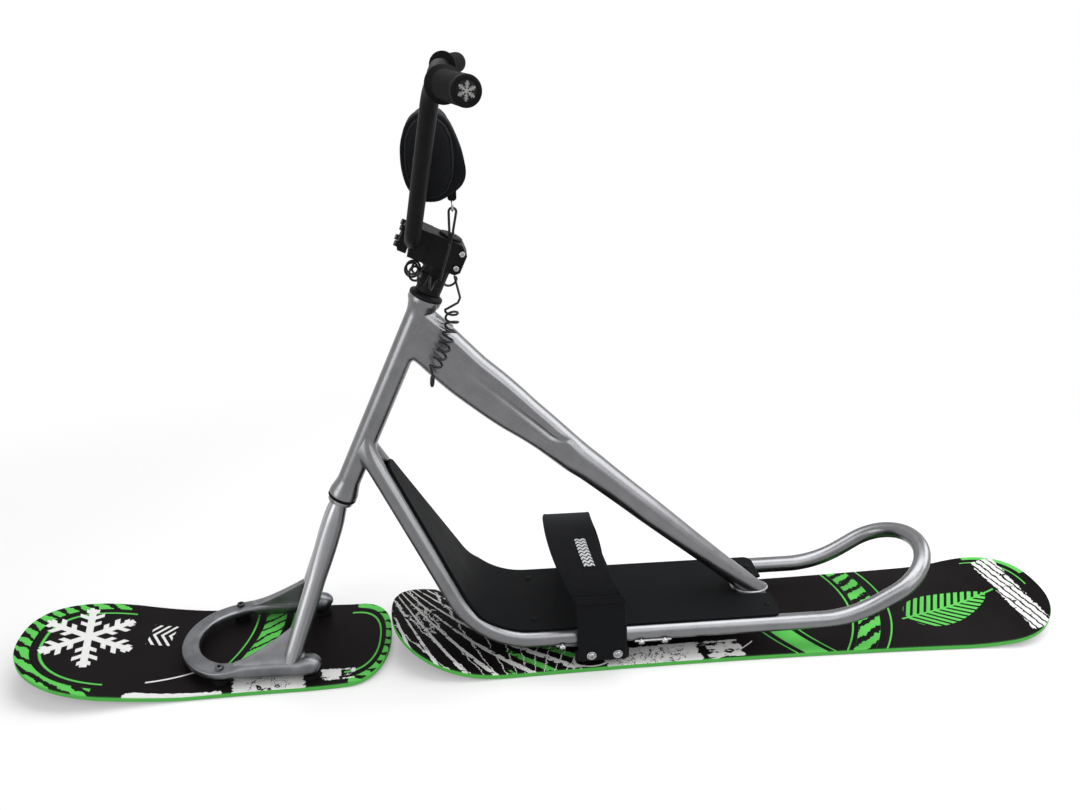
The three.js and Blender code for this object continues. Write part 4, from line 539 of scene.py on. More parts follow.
SATIN = satin_aluminium()
CAST = cast_aluminium()
# The shoe's webs: a rougher copy of the casting with a paler colour, painted lighter so that they look lit
# like the legs instead of showing the dark board below
LIGHTENED_WEB_CAST = cast_aluminium("rough_cast_aluminium_painted_lighter", (0.13, 0.132, 0.14), (0.19, 0.192, 0.2), 0.62)
WELD = weld_metal()
BLACK = black_metal()
STEEL = turned_steel()
DULL_STEEL = turned_steel("dull_steel", (0.045, 0.045, 0.05), (0.12, 0.12, 0.125))
PLATE = satin_aluminium("plate_aluminium", run=False)
POLISHED = polished_steel()
RUBBER = rubber()
GRIP = rubber("grip_rubber", (12, 12, 13), (21, 21, 22))
DECK = deck_coating()
WEB = webbing()
CLOTH = padding_cloth()
LABEL = label_weave()
THREAD = thread("thread", shade(30, 31, 35))
PIPING = thread("piping", shade(27, 28, 31))
CORD = cord_plastic()
CAP_PRINT = cap_print()
FRONT_PRINT = board_print("front_board_print", front_print)
REAR_PRINT = board_print("rear_board_print", rear_print)


# Shapes: each is a list of points, a list of faces, and each point's place along the unbent piece

def joined(*shapes):
    points, faces, runs = [], [], []
    for p, f, r in shapes:
        faces += [[i + len(points) for i in face] for face in f]
        points += p
        runs += r
    return points, faces, runs


def placed(shape, matrix):
    points, faces, runs = shape
    return [matrix @ p for p in points], faces, runs


def sided(v, hand):
    """A place or direction on the left, kept for hand 1 and mirrored to the right for -1."""
    return Vector((v.x, v.y * hand, v.z))


def mirrored(shape):
    points, faces, runs = shape
    return [sided(p, -1) for p in points], [face[::-1] for face in faces], runs


def bent(corners, radii, step=radians(4)):
    """Straight runs between corners, with an arc of its own radius at each inner corner."""
    path = [corners[0]]
    for i in range(1, len(corners) - 1):
        into = (corners[i] - corners[i - 1]).normalized()
        out = (corners[i + 1] - corners[i]).normalized()
        turn = into.angle(out)
        radius = radii[i - 1]
        start = corners[i] - into * (radius * tan(turn / 2))
        inward = (out - into * out.dot(into)).normalized()
        centre = start + inward * radius
        steps = max(3, ceil(turn / step))
        for k in range(steps + 1):
            a = k * turn / steps
            path.append(centre - inward * (radius * cos(a)) + into * (radius * sin(a)))
    return path + [corners[-1]]


def other_side(path):
    return [sided(p, -1) for p in reversed(path)]


def hermite(a, leave, b, arrive, t):
    """A smooth step from a to b with a slope at either end, for numbers or vectors."""
    return (a * (2 * t**3 - 3 * t**2 + 1) + leave * (t**3 - 2 * t**2 + t)
            + b * (3 * t**2 - 2 * t**3) + arrive * (t**3 - t**2))


def rounded(turn, power):
    """A place on a unit oval between a circle (power 2) and a square."""
    return [copysign(abs(v) ** (2 / power), v) for v in (cos(turn), sin(turn))]


def frames(path, side, closed=False):
    """Frames carried along a path without twist, with the distance from its start."""
    made, far = [], 0.0
    for i, p in enumerate(path):
        before = path[i - 1] if i or closed else p
        after = path[(i + 1) % len(path)] if i + 1 < len(path) or closed else p
        along = (after - before).normalized()
        side = (side - along * side.dot(along)).normalized()
        if i:
            far += (p - path[i - 1]).length
        made.append((p, along, side, along.cross(side), far))
    return made


def skin(rings, runs, closed=False):
    """Faces between rings of points, with end caps unless the rings close on themselves."""
    count = len(rings[0])
    points = [p for ring in rings for p in ring]
    faces = []
    last = len(rings) if closed else len(rings) - 1
    for r in range(last):
        a, b = r * count, ((r + 1) % len(rings)) * count
        faces += [[a + i, a + (i + 1) % count, b + (i + 1) % count, b + i] for i in range(count)]
    if not closed:
        faces.append(list(range(count))[::-1])
        faces.append([(len(rings) - 1) * count + i for i in range(count)])
    return points, faces, [r for ring in runs for r in ring]


def swept(path, section, side=Vector((0, 1, 0)), closed=False):
    """A section swept along a path. section(i) is a list of [across, up]."""
    rings, runs = [], []
    for i, (p, _, across, up, far) in enumerate(frames(path, side, closed)):
        ring = section(i)
        rings.append([p + across * a + up * b for a, b in ring])
        runs.append([Vector((a, far, b)) for a, b in ring])
    return skin(rings, runs, closed)


def circle(radius, sides):
    return [(radius * cos(2 * pi * i / sides), radius * sin(2 * pi * i / sides)) for i in range(sides)]


def tube(path, radius, sides, side=Vector((0, 1, 0)), closed=False):
    section = circle(radius, sides)
    return swept(path, lambda i: section, side, closed)


def turned(profile, sides):
    """A turned piece about local Z, from [radius, height] pairs."""
    rings = [[Vector((r * cos(2 * pi * i / sides), r * sin(2 * pi * i / sides), z)) for i in range(sides)]
             for r, z in profile]
    return skin(rings, [[Vector((p.x, p.z, p.y)) for p in ring] for ring in rings])


def disc(radius, low, high, sides, edge=0.6):
    profile = [(radius - edge, low), (radius, low + edge), (radius, high - edge), (radius - edge, high)]
    return turned(profile, sides)


def prism(outline, low, high):
    """A flat outline in local X and Y, thick along Z."""
    points = [Vector((x, y, z)) for z in (low, high) for x, y in outline]
    count = len(outline)
    faces = [[i, (i + 1) % count, count + (i + 1) % count, count + i] for i in range(count)]
    faces += [list(range(count))[::-1], [count + i for i in range(count)]]
    return points, faces, [p.copy() for p in points]


def aimed(place, direction):
    """Turns local Z along a direction, with the origin at a place."""
    turn = Vector((0, 0, 1)).rotation_difference(direction).to_matrix().to_4x4()
    return Matrix.Translation(place) @ turn


def upright():
    """Turns an outline in X and Z, thick along Y, into place."""
    return Matrix(((1, 0, 0, 0), (0, 0, 1, 0), (0, 1, 0, 0), (0, 0, 0, 1)))


def worn_edges(obj, width, segments, sharp):
    worn = obj.modifiers.new("worn_edges", "BEVEL")
    worn.width = width * MM
    worn.segments = segments
    worn.limit_method = "ANGLE"
    worn.angle_limit = radians(sharp)
    worn.harden_normals = True


def make(name, shape, finish, body, stands_for=None, sharp=32, bevel=0.0, rounds=0):
    """A piece of the object: its mesh in metres, its material, and the body that it rides on."""
    points, faces, runs = shape
    mesh = bpy.data.meshes.new(name)
    mesh.from_pydata([p * MM for p in points], [], faces)
    attribute = mesh.attributes.new("run", "FLOAT_VECTOR", "POINT")
    attribute.data.foreach_set("vector", [v * MM for r in runs for v in r])
    shell = bmesh.new()
    shell.from_mesh(mesh)
    bmesh.ops.remove_doubles(shell, verts=shell.verts, dist=1e-6)
    bmesh.ops.delete(shell, geom=[v for v in shell.verts if not v.link_faces], context="VERTS")
    bmesh.ops.recalc_face_normals(shell, faces=shell.faces)
    for face in shell.faces:
        face.smooth = True
    if not bevel:
        for edge in shell.edges:
            edge.smooth = len(edge.link_faces) != 2 or edge.calc_face_angle() < radians(sharp)
    shell.to_mesh(mesh)
    shell.free()
    obj = bpy.data.objects.new(name, mesh)
    bpy.context.scene.collection.objects.link(obj)
    mesh.materials.append(finish.material)
    if bevel:
        worn_edges(obj, bevel, 3, sharp)
    if rounds:
        rounding = obj.modifiers.new("rounding", "SUBSURF")
        rounding.levels = rounding.render_levels = rounds
    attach(obj, body)
    if stands_for:
        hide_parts(stands_for)
    return obj


def dress(names, finish, bevel=0.0):
    """CAD nodes that keep their shape, with their finish and softened edges."""
    for name in names:
        obj = bpy.data.objects[name]
        obj.data.materials.clear()
        obj.data.materials.append(finish.material)
        if bevel:
            worn_edges(obj, bevel, 2, 35)


# Head frame

HEAD_ANGLE = radians(65.5)
AXIS = Vector((cos(HEAD_ANGLE), 0, sin(HEAD_ANGLE)))
BACK = Vector((sin(HEAD_ANGLE), 0, -cos(HEAD_ANGLE)))
HEAD_BASE = Vector((-471, 0, 0)) + AXIS * 321.2
HEAD_TUBE = 348
STEM_BASE = HEAD_TUBE + 51
STEM_TOP = STEM_BASE + 44
STEM_REACH = 49


def on_axis(along, behind=0.0, across=0.0):
    return HEAD_BASE + AXIS * along + BACK * behind + Vector((0, across, 0))


IN_HEAD = Matrix((
    (BACK.x, 0, AXIS.x, HEAD_BASE.x),
    (0, 1, 0, HEAD_BASE.y),
    (BACK.z, 0, AXIS.z, HEAD_BASE.z),
    (0, 0, 0, 1),
))


def in_head(shape):
    return placed(shape, IN_HEAD)


# Leash cord: the same routes as the CAD model's, with finer steps

CORD_RADIUS = 1.75
CURL_RADIUS = 9.25
CURL_STEPS = 24
RING = Vector((-150, -60, 751))
RING_RADIUS, RING_WIRE = 7, 1.5


def spline(points, spacing):
    """A centripetal curve through points, with even steps."""
    ends = [points[0] * 2 - points[1]] + points + [points[-1] * 2 - points[-2]]
    fine = []
    for a, b, c, d in zip(ends, ends[1:], ends[2:], ends[3:]):
        gaps = [max((q - p).length, 1e-6) ** 0.5 for p, q in ((a, b), (b, c), (c, d))]
        m1 = (b - a) / gaps[0] - (c - a) / (gaps[0] + gaps[1]) + (c - b) / gaps[1]
        m2 = (c - b) / gaps[1] - (d - b) / (gaps[1] + gaps[2]) + (d - c) / gaps[2]
        fine += [hermite(b, m1 * gaps[1], c, m2 * gaps[1], k / 24) for k in range(24)]
    fine.append(points[-1])
    return evenly(fine, spacing)


def evenly(path, spacing):
    lengths = [0.0]
    for a, b in zip(path, path[1:]):
        lengths.append(lengths[-1] + (b - a).length)
    count = max(2, round(lengths[-1] / spacing))
    made, k = [], 0
    for i in range(count + 1):
        want = lengths[-1] * i / count
        while k + 2 < len(lengths) and lengths[k + 1] < want:
            k += 1
        gap = lengths[k + 1] - lengths[k]
        made.append(path[k].lerp(path[k + 1], (want - lengths[k]) / gap if gap else 0))
    return made


def curls(route, length, pitch, radius_at):
    """Curls about a route. route(share) gives its centre and the two directions they turn in."""
    count = round(length / pitch) * CURL_STEPS
    made = []
    for i in range(count + 1):
        share = i / count
        centre, out, up = route(share)
        turn = pi / 2 + i * 2 * pi / CURL_STEPS
        made.append(centre + out * (radius_at(share) * cos(turn)) + up * (radius_at(share) * sin(turn)))
    return made


WIND_RADIUS = 33.5
WIND_FROM, WIND_TO = radians(-78), radians(-330)


def wind_route(share):
    turn = WIND_FROM + (WIND_TO - WIND_FROM) * share
    out = BACK * cos(turn) + Vector((0, sin(turn), 0))
    return on_axis(HEAD_TUBE + 31) + out * WIND_RADIUS, out, AXIS


HANG_OFFSETS = ((0, -5, 0), (0, -21, -15), (-8, -33, -37), (-17, -34.5, -58), (-27, -35, -77))
HANG_POINTS = [on_axis(HEAD_TUBE - 2, 41) + Vector(offset) for offset in HANG_OFFSETS]
HANG_LINE = spline(HANG_POINTS, 0.5)


def hang_route(share):
    place = share * (len(HANG_LINE) - 1)
    k = min(int(place), len(HANG_LINE) - 2)
    centre = HANG_LINE[k].lerp(HANG_LINE[k + 1], place - k)
    along = (HANG_LINE[min(k + 2, len(HANG_LINE) - 1)] - HANG_LINE[max(k - 2, 0)]).normalized()
    left = Vector((0, -1, 0))
    out = (left - along * left.dot(along)).normalized()
    return centre, out, -out.cross(along)


def leash():
    eye_top = RING + Vector((0, 0, -RING_RADIUS + RING_WIRE + CORD_RADIUS + FIT))
    eye_foot = eye_top + Vector((-3, 0, -34))
    crimp_foot = eye_foot + Vector((-2.5, 0, -14))
    hang_length = sum((b - a).length for a, b in zip(HANG_LINE, HANG_LINE[1:]))
    upper = curls(wind_route, (WIND_FROM - WIND_TO) * WIND_RADIUS, 14.5, lambda s: CURL_RADIUS)
    lower = curls(hang_route, hang_length, 13, lambda s: CURL_RADIUS - 1.2 * s)
    meet = on_axis(HEAD_TUBE + 17.5, 45, -12)
    lead_start = crimp_foot + Vector((0, 0, -FIT))
    lead_turn = lead_start + Vector((0, 0, -2 * CORD_RADIUS))
    lead = [lead_start, lead_turn]
    for s in (0.3, 0.65):
        lead.append(lead_turn.lerp(upper[0], s) + Vector((0, -s * (1 - s) * CURL_RADIUS, 0)))
    upper_path = spline(lead + [upper[0]], 2.5)[:-1] + upper + [meet + AXIS * 4.15, meet + AXIS * 0.15]
    sleeve_top = HANG_POINTS[-1] + Vector((-4, 0, -CURL_RADIUS - 4))
    sleeve_foot = sleeve_top + Vector((-1.5, 0, -17))
    sleeve_in = sleeve_top + Vector((0, 0, FIT))
    lower_path = [meet - AXIS * 0.15, meet - AXIS * 4.15] + lower
    lower_path += [sleeve_in + Vector((0, 0, 4)), sleeve_in]

    # Eye: a closed loop of the same cord under a pressed crimp
    top = eye_top + Vector((0, 0, -5))
    eye = [top + Vector((5 * cos(a), 0, 5 * sin(a))) for a in [pi * i / 16 for i in range(17)]]
    neck = eye_foot.lerp(top, 0.15)
    low = [neck + Vector((-2.6, 0, 0)), eye_foot + Vector((-1.9, 0, -2)), eye_foot + Vector((1.9, 0, -2)),
           neck + Vector((2.6, 0, 0))]
    loop = evenly(spline(eye + low + [eye[0]], 1.5), 1.5)[:-1]
    make("leash_eye_loop", tube(loop, CORD_RADIUS, 14, closed=True), CORD, "steering", "leash_eye")
    down = (crimp_foot - eye_foot).normalized()
    crimp = [(2.6, 0), (3.2, 0.8), (3.2, 3), (2.9, 4), (3.2, 5), (3.2, 9), (2.9, 10), (3.2, 11), (3.2, 13),
             (2.6, 14)]
    make("leash_crimp", placed(turned(crimp, 20), aimed(eye_foot, down)), BLACK, "steering")
    sleeve = [(2.0, 0), (2.6, 0.5), (3.4, 2.6), (3.4, 10.2), (3.1, 10.6), (3.4, 11), (3.4, 12.6), (2.2, 17)]
    tip = aimed(sleeve_top, (sleeve_foot - sleeve_top).normalized())
    make("leash_sleeve", placed(turned(sleeve, 20), tip), CORD, "frame", "leash_end_sleeve")

    for name, path, node, body, end, extra in (
        ("leash_cord_upper", upper_path, "leash_coil_upper", "steering", "object", []),
        ("leash_cord_lower", lower_path, "leash_coil_lower", "frame", "fitting", ["leash_sleeve"]),
    ):
        obj = make(name, tube(path, CORD_RADIUS, 12, side=Vector((1, 0, 0))), CORD, body, node)
        length = sum((b - a).length for a, b in zip(path, path[1:])) * MM
        path[0] * MM
        [p * MM for p in path]


leash()


# Frame tubes

RAIL_RADIUS = 14
RAIL_Y, RAIL_Z = 84, 56
RAIL_CORNER = Vector((-130, -RAIL_Y, RAIL_Z))
DOWN_TOP = Vector((-290, -14, 361))
HOOP_TURN = radians(33)
HOOP_CENTRE = Vector((560, 0, RAIL_Z + 68 * tan(HOOP_TURN)))
CROSS_BAR_TOP = RAIL_Z + RAIL_RADIUS


def rail_path():
    corners = [DOWN_TOP, RAIL_CORNER, Vector((492, -RAIL_Y, RAIL_Z)), HOOP_CENTRE - Vector((0, RAIL_Y, 0))]
    side = bent(corners, [140, 180])
    lean = Vector((cos(HOOP_TURN), 0, sin(HOOP_TURN)))
    hoop = [HOOP_CENTRE + lean * (RAIL_Y * sin(a)) - Vector((0, RAIL_Y * cos(a), 0))
            for a in [pi * i / 40 for i in range(1, 40)]]
    return side + hoop + other_side(side)


# The head tube's outer side: height along it, radius
HEAD_OUTLINE = (
    (0.2, 17.6), (0.21, 22.1), (0.5, 22.5), (6.4, 22.5), (7.6, 22.1), (14, 20.6), (22, 18.9), (27, 18.1),
    (31, 18), (317, 18), (321, 18.2), (328, 19.4), (337, 22.1), (340.4, 24.1), (341.6, 24.5), (347.5, 24.5),
    (347.9, 24.1), (348, 17.6),
)


def head_radius(along):
    """The head tube's outer radius at a height, below its upper rim."""
    return between(HEAD_OUTLINE, min(max(along, 1), 347))[0]


def off_head(point):
    """A point's height along the head tube, and its offset from the tube's axis."""
    offset = point - HEAD_BASE
    along = offset.dot(AXIS)
    return along, offset - AXIS * along


def to_head(start, direction, proud):
    """How far along a line the head tube's skin is, or the line's nearest place to the tube's axis."""
    way = direction - AXIS * direction.dot(AXIS)
    _, off = off_head(start)
    nearest = -off.dot(way) / way.dot(way)
    miss = (off + way * nearest).length
    far = nearest
    for _ in range(4):
        radius = head_radius(off_head(start + direction * far)[0]) + proud
        far = nearest - sqrt(max(0.0, radius**2 - miss**2)) / way.length
    return far


def onto_head(point, proud):
    """A point moved straight onto the head tube's skin."""
    along, off = off_head(point)
    return HEAD_BASE + AXIS * along + off.normalized() * (head_radius(along) + proud)


def weld_fillet(outline, centre, direction, side, up, reach):
    """A smooth ground weld that spreads a tube's outline onto the head tube's skin."""
    starts = [centre + side * a + up * b for a, b in outline]
    fars = [to_head(start, direction, 0) for start in starts]
    base = min(fars) - reach
    steps = 12
    rings = [[] for _ in range(steps + 1)]
    middle = sum(starts, Vector()) / len(starts)
    for start, far in zip(starts, fars):
        outward = (start - middle).normalized()
        meet = start + direction * far
        low = start + outward * 0.1 + direction * base
        lift = low + direction * (0.55 * (far - base))
        corner = onto_head(meet, 0.3)
        way = outward * reach + direction * reach * 0.35
        climb, room = way.dot(AXIS), 322 - off_head(meet)[0]
        spread = onto_head(meet + way * min(1.0, max(room / climb, 0.15) if climb > 0 else 1.0), -0.25)
        for k in range(steps + 1):
            s = k / steps
            rings[k].append(low * (1 - s) ** 3 + lift * (3 * s * (1 - s) ** 2)
                            + corner * (3 * s * s * (1 - s)) + spread * s**3)
    runs = [[Vector((p.y, p.x, p.z)) for p in ring] for ring in rings]
    return skin(rings, runs), base


def bead(loop, radius):
    """A weld bead round a joint, with its ripples."""
    spacing, pitch = 0.8, 2.6
    path = evenly(loop + [loop[0]], spacing)[:-1]
    count = len(path)
    ripples = max(6, round(count * spacing / pitch))
    sizes = [radius * (0.9 + 0.2 * abs(sin(pi * ripples * i / count))) for i in range(count)]
    side = (path[1] - path[0]).orthogonal()
    return swept(path, lambda i: circle(sizes[i], 10), side, closed=True)


def box(x0, x1, y0, y1, z0, z1):
    return prism([(x0, y0), (x1, y0), (x1, y1), (x0, y1)], z0, z1)


def rails():
    path = rail_path()
    up = (path[0] - path[1]).normalized()
    cuts = []
    for hand, name in ((1, "left"), (-1, "right")):
        direction = sided(up, hand)
        start = sided(path[0], hand) - direction * 60
        side = direction.cross(Vector((0, 1, 0))).normalized()
        shape, base = weld_fillet(circle(RAIL_RADIUS, 60), start, direction, side, direction.cross(side), 9)
        make("down_tube_weld_" + name, shape, SATIN, "frame", sharp=60)
        cuts.append(start + direction * (base + 1.2))
    path = [cuts[0]] + path[1:-1] + [cuts[1]]
    make("bent_rail", tube(path, RAIL_RADIUS, 36), SATIN, "frame", "rail_tube")
    for name, x0, x1 in (("front_cross_bar", -52, -32), ("rear_cross_bar", 300, 363)):
        bar = box(x0, x1, -RAIL_Y, RAIL_Y, CROSS_BAR_TOP - 5, CROSS_BAR_TOP)
        make(name, bar, SATIN, "frame", bevel=0.8)


# The top tube's rows, from foot to head: share of its length, sag below the straight line, girth, how far the
# upper tube has risen out of the lower one, and depth of the crease between them
TOP_SPINE = (
    (-0.03, 0, 0.92, 0, 0), (0.12, -1.5, 0.95, 0, 0), (0.2, -2.3, 1.02, 0, 0), (0.331, -2.5, 1.12, 0.05, 0),
    (0.423, -3.3, 1.15, 0.07, 0), (0.511, -3.8, 1.2, 0.11, 0), (0.56, -1.8, 1.22, 0.19, 0),
    (0.6, 0, 1.12, 0.34, 0.4), (0.618, 0.7, 1.08, 0.41, 0.85), (0.645, 1.8, 1.02, 0.51, 1),
    (0.69, 4.2, 1, 0.65, 1), (0.735, 7.4, 1, 0.81, 0.95), (0.79, 8.8, 1, 0.92, 0.9),
    (0.855, 8.6, 1, 0.96, 0.65), (0.913, 5.5, 1, 1, 0.4), (0.95, 2.3, 1, 1, 0.3), (1, 0, 1, 1, 0.25),
)
# Shares between which the upper tube's end thins out to its tip
TIP_START, TIP_END = 0.64, 0.598
TOP_RADIUS, TOP_RISE = 19, 39


def between(table, x):
    """A smooth reading between the rows of a table, never past its own rows."""
    rows = sorted(table)
    for k in range(len(rows) - 1):
        a, b = rows[k], rows[k + 1]
        if x <= b[0] or k + 2 == len(rows):
            t = min(max((x - a[0]) / (b[0] - a[0]), 0), 1)
            before, after = rows[max(k - 1, 0)], rows[min(k + 2, len(rows) - 1)]
            found = []
            for c in range(1, len(a)):
                slope = (b[c] - a[c]) / (b[0] - a[0])
                s0 = (b[c] - before[c]) / (b[0] - before[0])
                s1 = (after[c] - a[c]) / (after[0] - a[0])
                s0 = 0 if s0 * slope <= 0 else min(s0, 3 * slope, key=abs)
                s1 = 0 if s1 * slope <= 0 else min(s1, 3 * slope, key=abs)
                width = b[0] - a[0]
                found.append(hermite(a[c], s0 * width, b[c], s1 * width, t))
            return found


def top_section(radius, rise, crease, tip=0.0):
    """The two tubes' common outline, creased where they meet: higher up at the upper one's tip."""
    ring, sides = [], 108
    for i in range(sides):
        turn = 2 * pi * i / sides
        turn -= 0.38 * sin(2 * turn)
        lift = max(-1.0, min(1.0, 3 * sin(turn)))
        off = 3 * sin(turn) - 0.36 - 1.7 * tip
        if off > 0:
            tuck = 0.3 * (1 - min(off, 1.0) ** 2) ** 2 + 0.8 * max(0, 1 - off / 0.22) ** 1.4
        else:
            tuck = 0.3 * (1 - min(-off / 3, 1.0) ** 2) ** 2 + 0.8 * max(0, 1 + off / 0.5) ** 1.5
        drawn = 1 - crease * tuck
        ring.append((radius * cos(turn) * drawn, radius * sin(turn) + rise / 2 * (1 + lift)))
    return ring


def top_tube():
    foot = Vector((343, 0, CROSS_BAR_TOP))
    head = on_axis(278)
    line = head - foot
    above = -Vector((-line.z, 0, line.x)).normalized()
    shares = [1 - 0.005 * i for i in range(207)]
    path, sizes = [], []
    for share in shares:
        sag, girth, rise, crease = between(TOP_SPINE, share)
        path.append(foot + line * share - above * sag)
        tip = min(max((TIP_START - share) / (TIP_START - TIP_END), 0), 1)
        sizes.append((TOP_RADIUS * girth, rise * TOP_RISE, crease * 0.25, tip**2))
    points, faces, runs = swept(path, lambda i: top_section(*sizes[i]))
    # Ends trimmed to the head tube's skin and to the cross bar's top
    direction = line.normalized()
    trimmed = []
    for p in points:
        reached = to_head(p, direction, -0.8)
        if reached < 0:
            p = p + direction * reached
        if p.z < CROSS_BAR_TOP:
            p = p + direction * ((CROSS_BAR_TOP - p.z) / direction.z)
        trimmed.append(p)
    make("melted_top_tube", (trimmed, faces, runs), SATIN, "frame", "top_tube", sharp=50)
    side, up = frames(path[:3], Vector((0, 1, 0)))[1][2:4]
    ring = top_section(TOP_RADIUS, TOP_RISE, 0.12)
    fillet, _ = weld_fillet(ring, path[0] - direction * 120, direction, side, up, 11)
    make("top_tube_head_weld", fillet, SATIN, "frame", sharp=60)
    low = []
    for a, b in circle(TOP_RADIUS * 0.94 + FIT, 56):
        start = foot + line * 0.12 + side * a + up * b
        low.append(start - direction * ((start.z - CROSS_BAR_TOP - 0.8) / direction.z))
    make("top_tube_foot_weld", bead(low, 1.9), WELD, "frame")


def head_tube():
    shell = in_head(turned([(r, z) for z, r in HEAD_OUTLINE], 64))
    make("head_shell", shell, SATIN, "frame", "head_tube", sharp=40)


rails()
top_tube()
head_tube()


# Deck: flat over the rails, bent up between the down tubes

def deck():
    along = (RAIL_CORNER - DOWN_TOP).normalized()
    flat = Vector((along.x, 0, along.z)).normalized()
    lift = RAIL_RADIUS + FIT
    normal = Vector((-flat.z, 0, flat.x))
    corner = Vector((RAIL_CORNER.x, 0, RAIL_CORNER.z))
    top_end = Vector((DOWN_TOP.x, 0, DOWN_TOP.z)) + flat * 27 + normal * lift
    bottom_z = RAIL_Z + lift
    bend = Vector((corner.x + tan(acos(flat.x) / 2) * lift, 0, bottom_z))
    tail, round_corner, notch_x, notch_half = 367, 14, 306, 25
    path = evenly(bent([top_end, bend, Vector((notch_x, 0, bottom_z))], [140 - lift], radians(3)), 6)
    path += [Vector((notch_x + (tail - notch_x) * k / 24, 0, bottom_z)) for k in range(1, 25)]
    wing, middle, thick = 7, 6, 4.0
    columns = 2 * wing + middle + 1
    points, runs, faces = [], [], []
    for p, _, _, up, far in frames(path, Vector((0, 1, 0))):
        share = min(max((p.x - path[0].x) / (RAIL_CORNER.x - path[0].x), 0), 1)
        half = 17 + 69 * share
        if far < 8:
            half -= 6 * (1 - sqrt(max(0, 1 - (1 - far / 8) ** 2)))
        inset = p.x - (tail - round_corner)
        if inset > 0:
            half -= round_corner - sqrt(max(0, round_corner**2 - inset**2))
        inner = min(notch_half, 0.6 * half)
        across = [-half + (half - inner) * k / wing for k in range(wing)]
        across += [-inner + 2 * inner * k / middle for k in range(middle + 1)]
        across += [inner + (half - inner) * (k + 1) / wing for k in range(wing)]
        upward = up if up.z > 0 else -up
        for level in (0.0, thick):
            points += [Vector((p.x, y, p.z)) + upward * level for y in across]
            runs += [Vector((y, far, level)) for y in across]

    def spot(row, column, level):
        return (2 * row + level) * columns + column

    def solid(row, column):
        """Whether the plate fills a cell, which it doesn't in the notch or outside its edges."""
        if not (0 <= row < len(path) - 1 and 0 <= column < columns - 1):
            return False
        return not (path[row].x > notch_x - 0.1 and wing <= column < wing + middle)

    for row in range(len(path) - 1):
        for column in range(columns - 1):
            if not solid(row, column):
                continue
            a, b, c, d = (row, column), (row, column + 1), (row + 1, column + 1), (row + 1, column)
            faces.append([spot(*corner, 1) for corner in (a, b, c, d)])
            faces.append([spot(*corner, 0) for corner in (d, c, b, a)])
            for beside, start, end in (((row, column - 1), a, d), ((row, column + 1), b, c),
                                       ((row - 1, column), a, b), ((row + 1, column), d, c)):
                if not solid(*beside):
                    faces.append([spot(*start, 0), spot(*end, 0), spot(*end, 1), spot(*start, 1)])
    make("deck_plate", (points, faces, runs), DECK, "frame", "deck", sharp=40, bevel=0.7)


deck()


# Fork and front shoe

LEG_Y, LEG_Z, LEG_RADIUS = 83, 31, 14
BLADE_FOOT_X = -436
BAND_X = -524


def blade_ends(hand):
    top = on_axis(-27)
    return Vector((top.x, hand * 12, top.z)), Vector((BLADE_FOOT_X, hand * LEG_Y, LEG_Z))


def fork():
    crown = [(0, -30), (5, -29.4), (9.5, -27.4), (12.4, -24), (13.6, -19), (14.6, -15.5), (17, -13.4),
             (19.4, -12.6), (20, -11.8), (20, -5.8), (19.5, -5.3), (14.3, -5.3), (14.3, 440.6), (13.8, 441),
             (12, 441), (12, 430)]
    make("fork_crown", in_head(turned(crown, 48)), POLISHED, "steering", "fork", sharp=40)
    for hand, name in SIDES:
        top, foot = blade_ends(hand)
        path = evenly([top + (top - foot).normalized() * 15, foot], 6)
        count = len(path)

        def section(i):
            share = i / (count - 1)
            grown = 1 - 0.2 * max(0.0, 1 - share / 0.13) ** 1.6
            deep = 15.4 + 1.6 * sin(pi * min(share * 2.2, 1)) - 0.9 * share
            sunk = 1 - 0.22 * max(0.0, (share - 0.92) / 0.08)
            return [(14.5 * grown * sunk * a, deep * grown * sunk * b) for a, b in circle(1, 40)]

        make("fork_blade_" + name, swept(path, section), POLISHED, "steering", sharp=50)


def shoe_stations():
    """Places along a leg of the shoe: x, half width, half height and how far the heel's boss lifts it."""
    rear = -387
    return (
        (rear, 3, 3, 1), (rear - 1, 6.6, 6.8, 1.6), (rear - 2.5, 9.4, 9.6, 2.1), (rear - 5, 12.2, 12.4, 2.5),
        (rear - 8, 14.3, 14.2, 2.7), (rear - 11, 15.9, 15.3, 2.8), (rear - 16, 17, 16.2, 2.8),
        (rear - 22, 17, 16, 2.6), (rear - 28, 16.5, 15.2, 1.8), (rear - 34, 15.8, 14.4, 0.8),
        (rear - 42, 15, 14, 0), (rear - 52, 14.4, 14, 0), (BLADE_FOOT_X - 14.5, 14, 14, 0), (-470, 14, 14, 0),
        (-482, 14, 14, 0), (-496, 14, 14, 0), (-507, 14, 13.4, 0), (-514.2, 14, 12.6, 0), (-520, 14, 11, 0),
    )


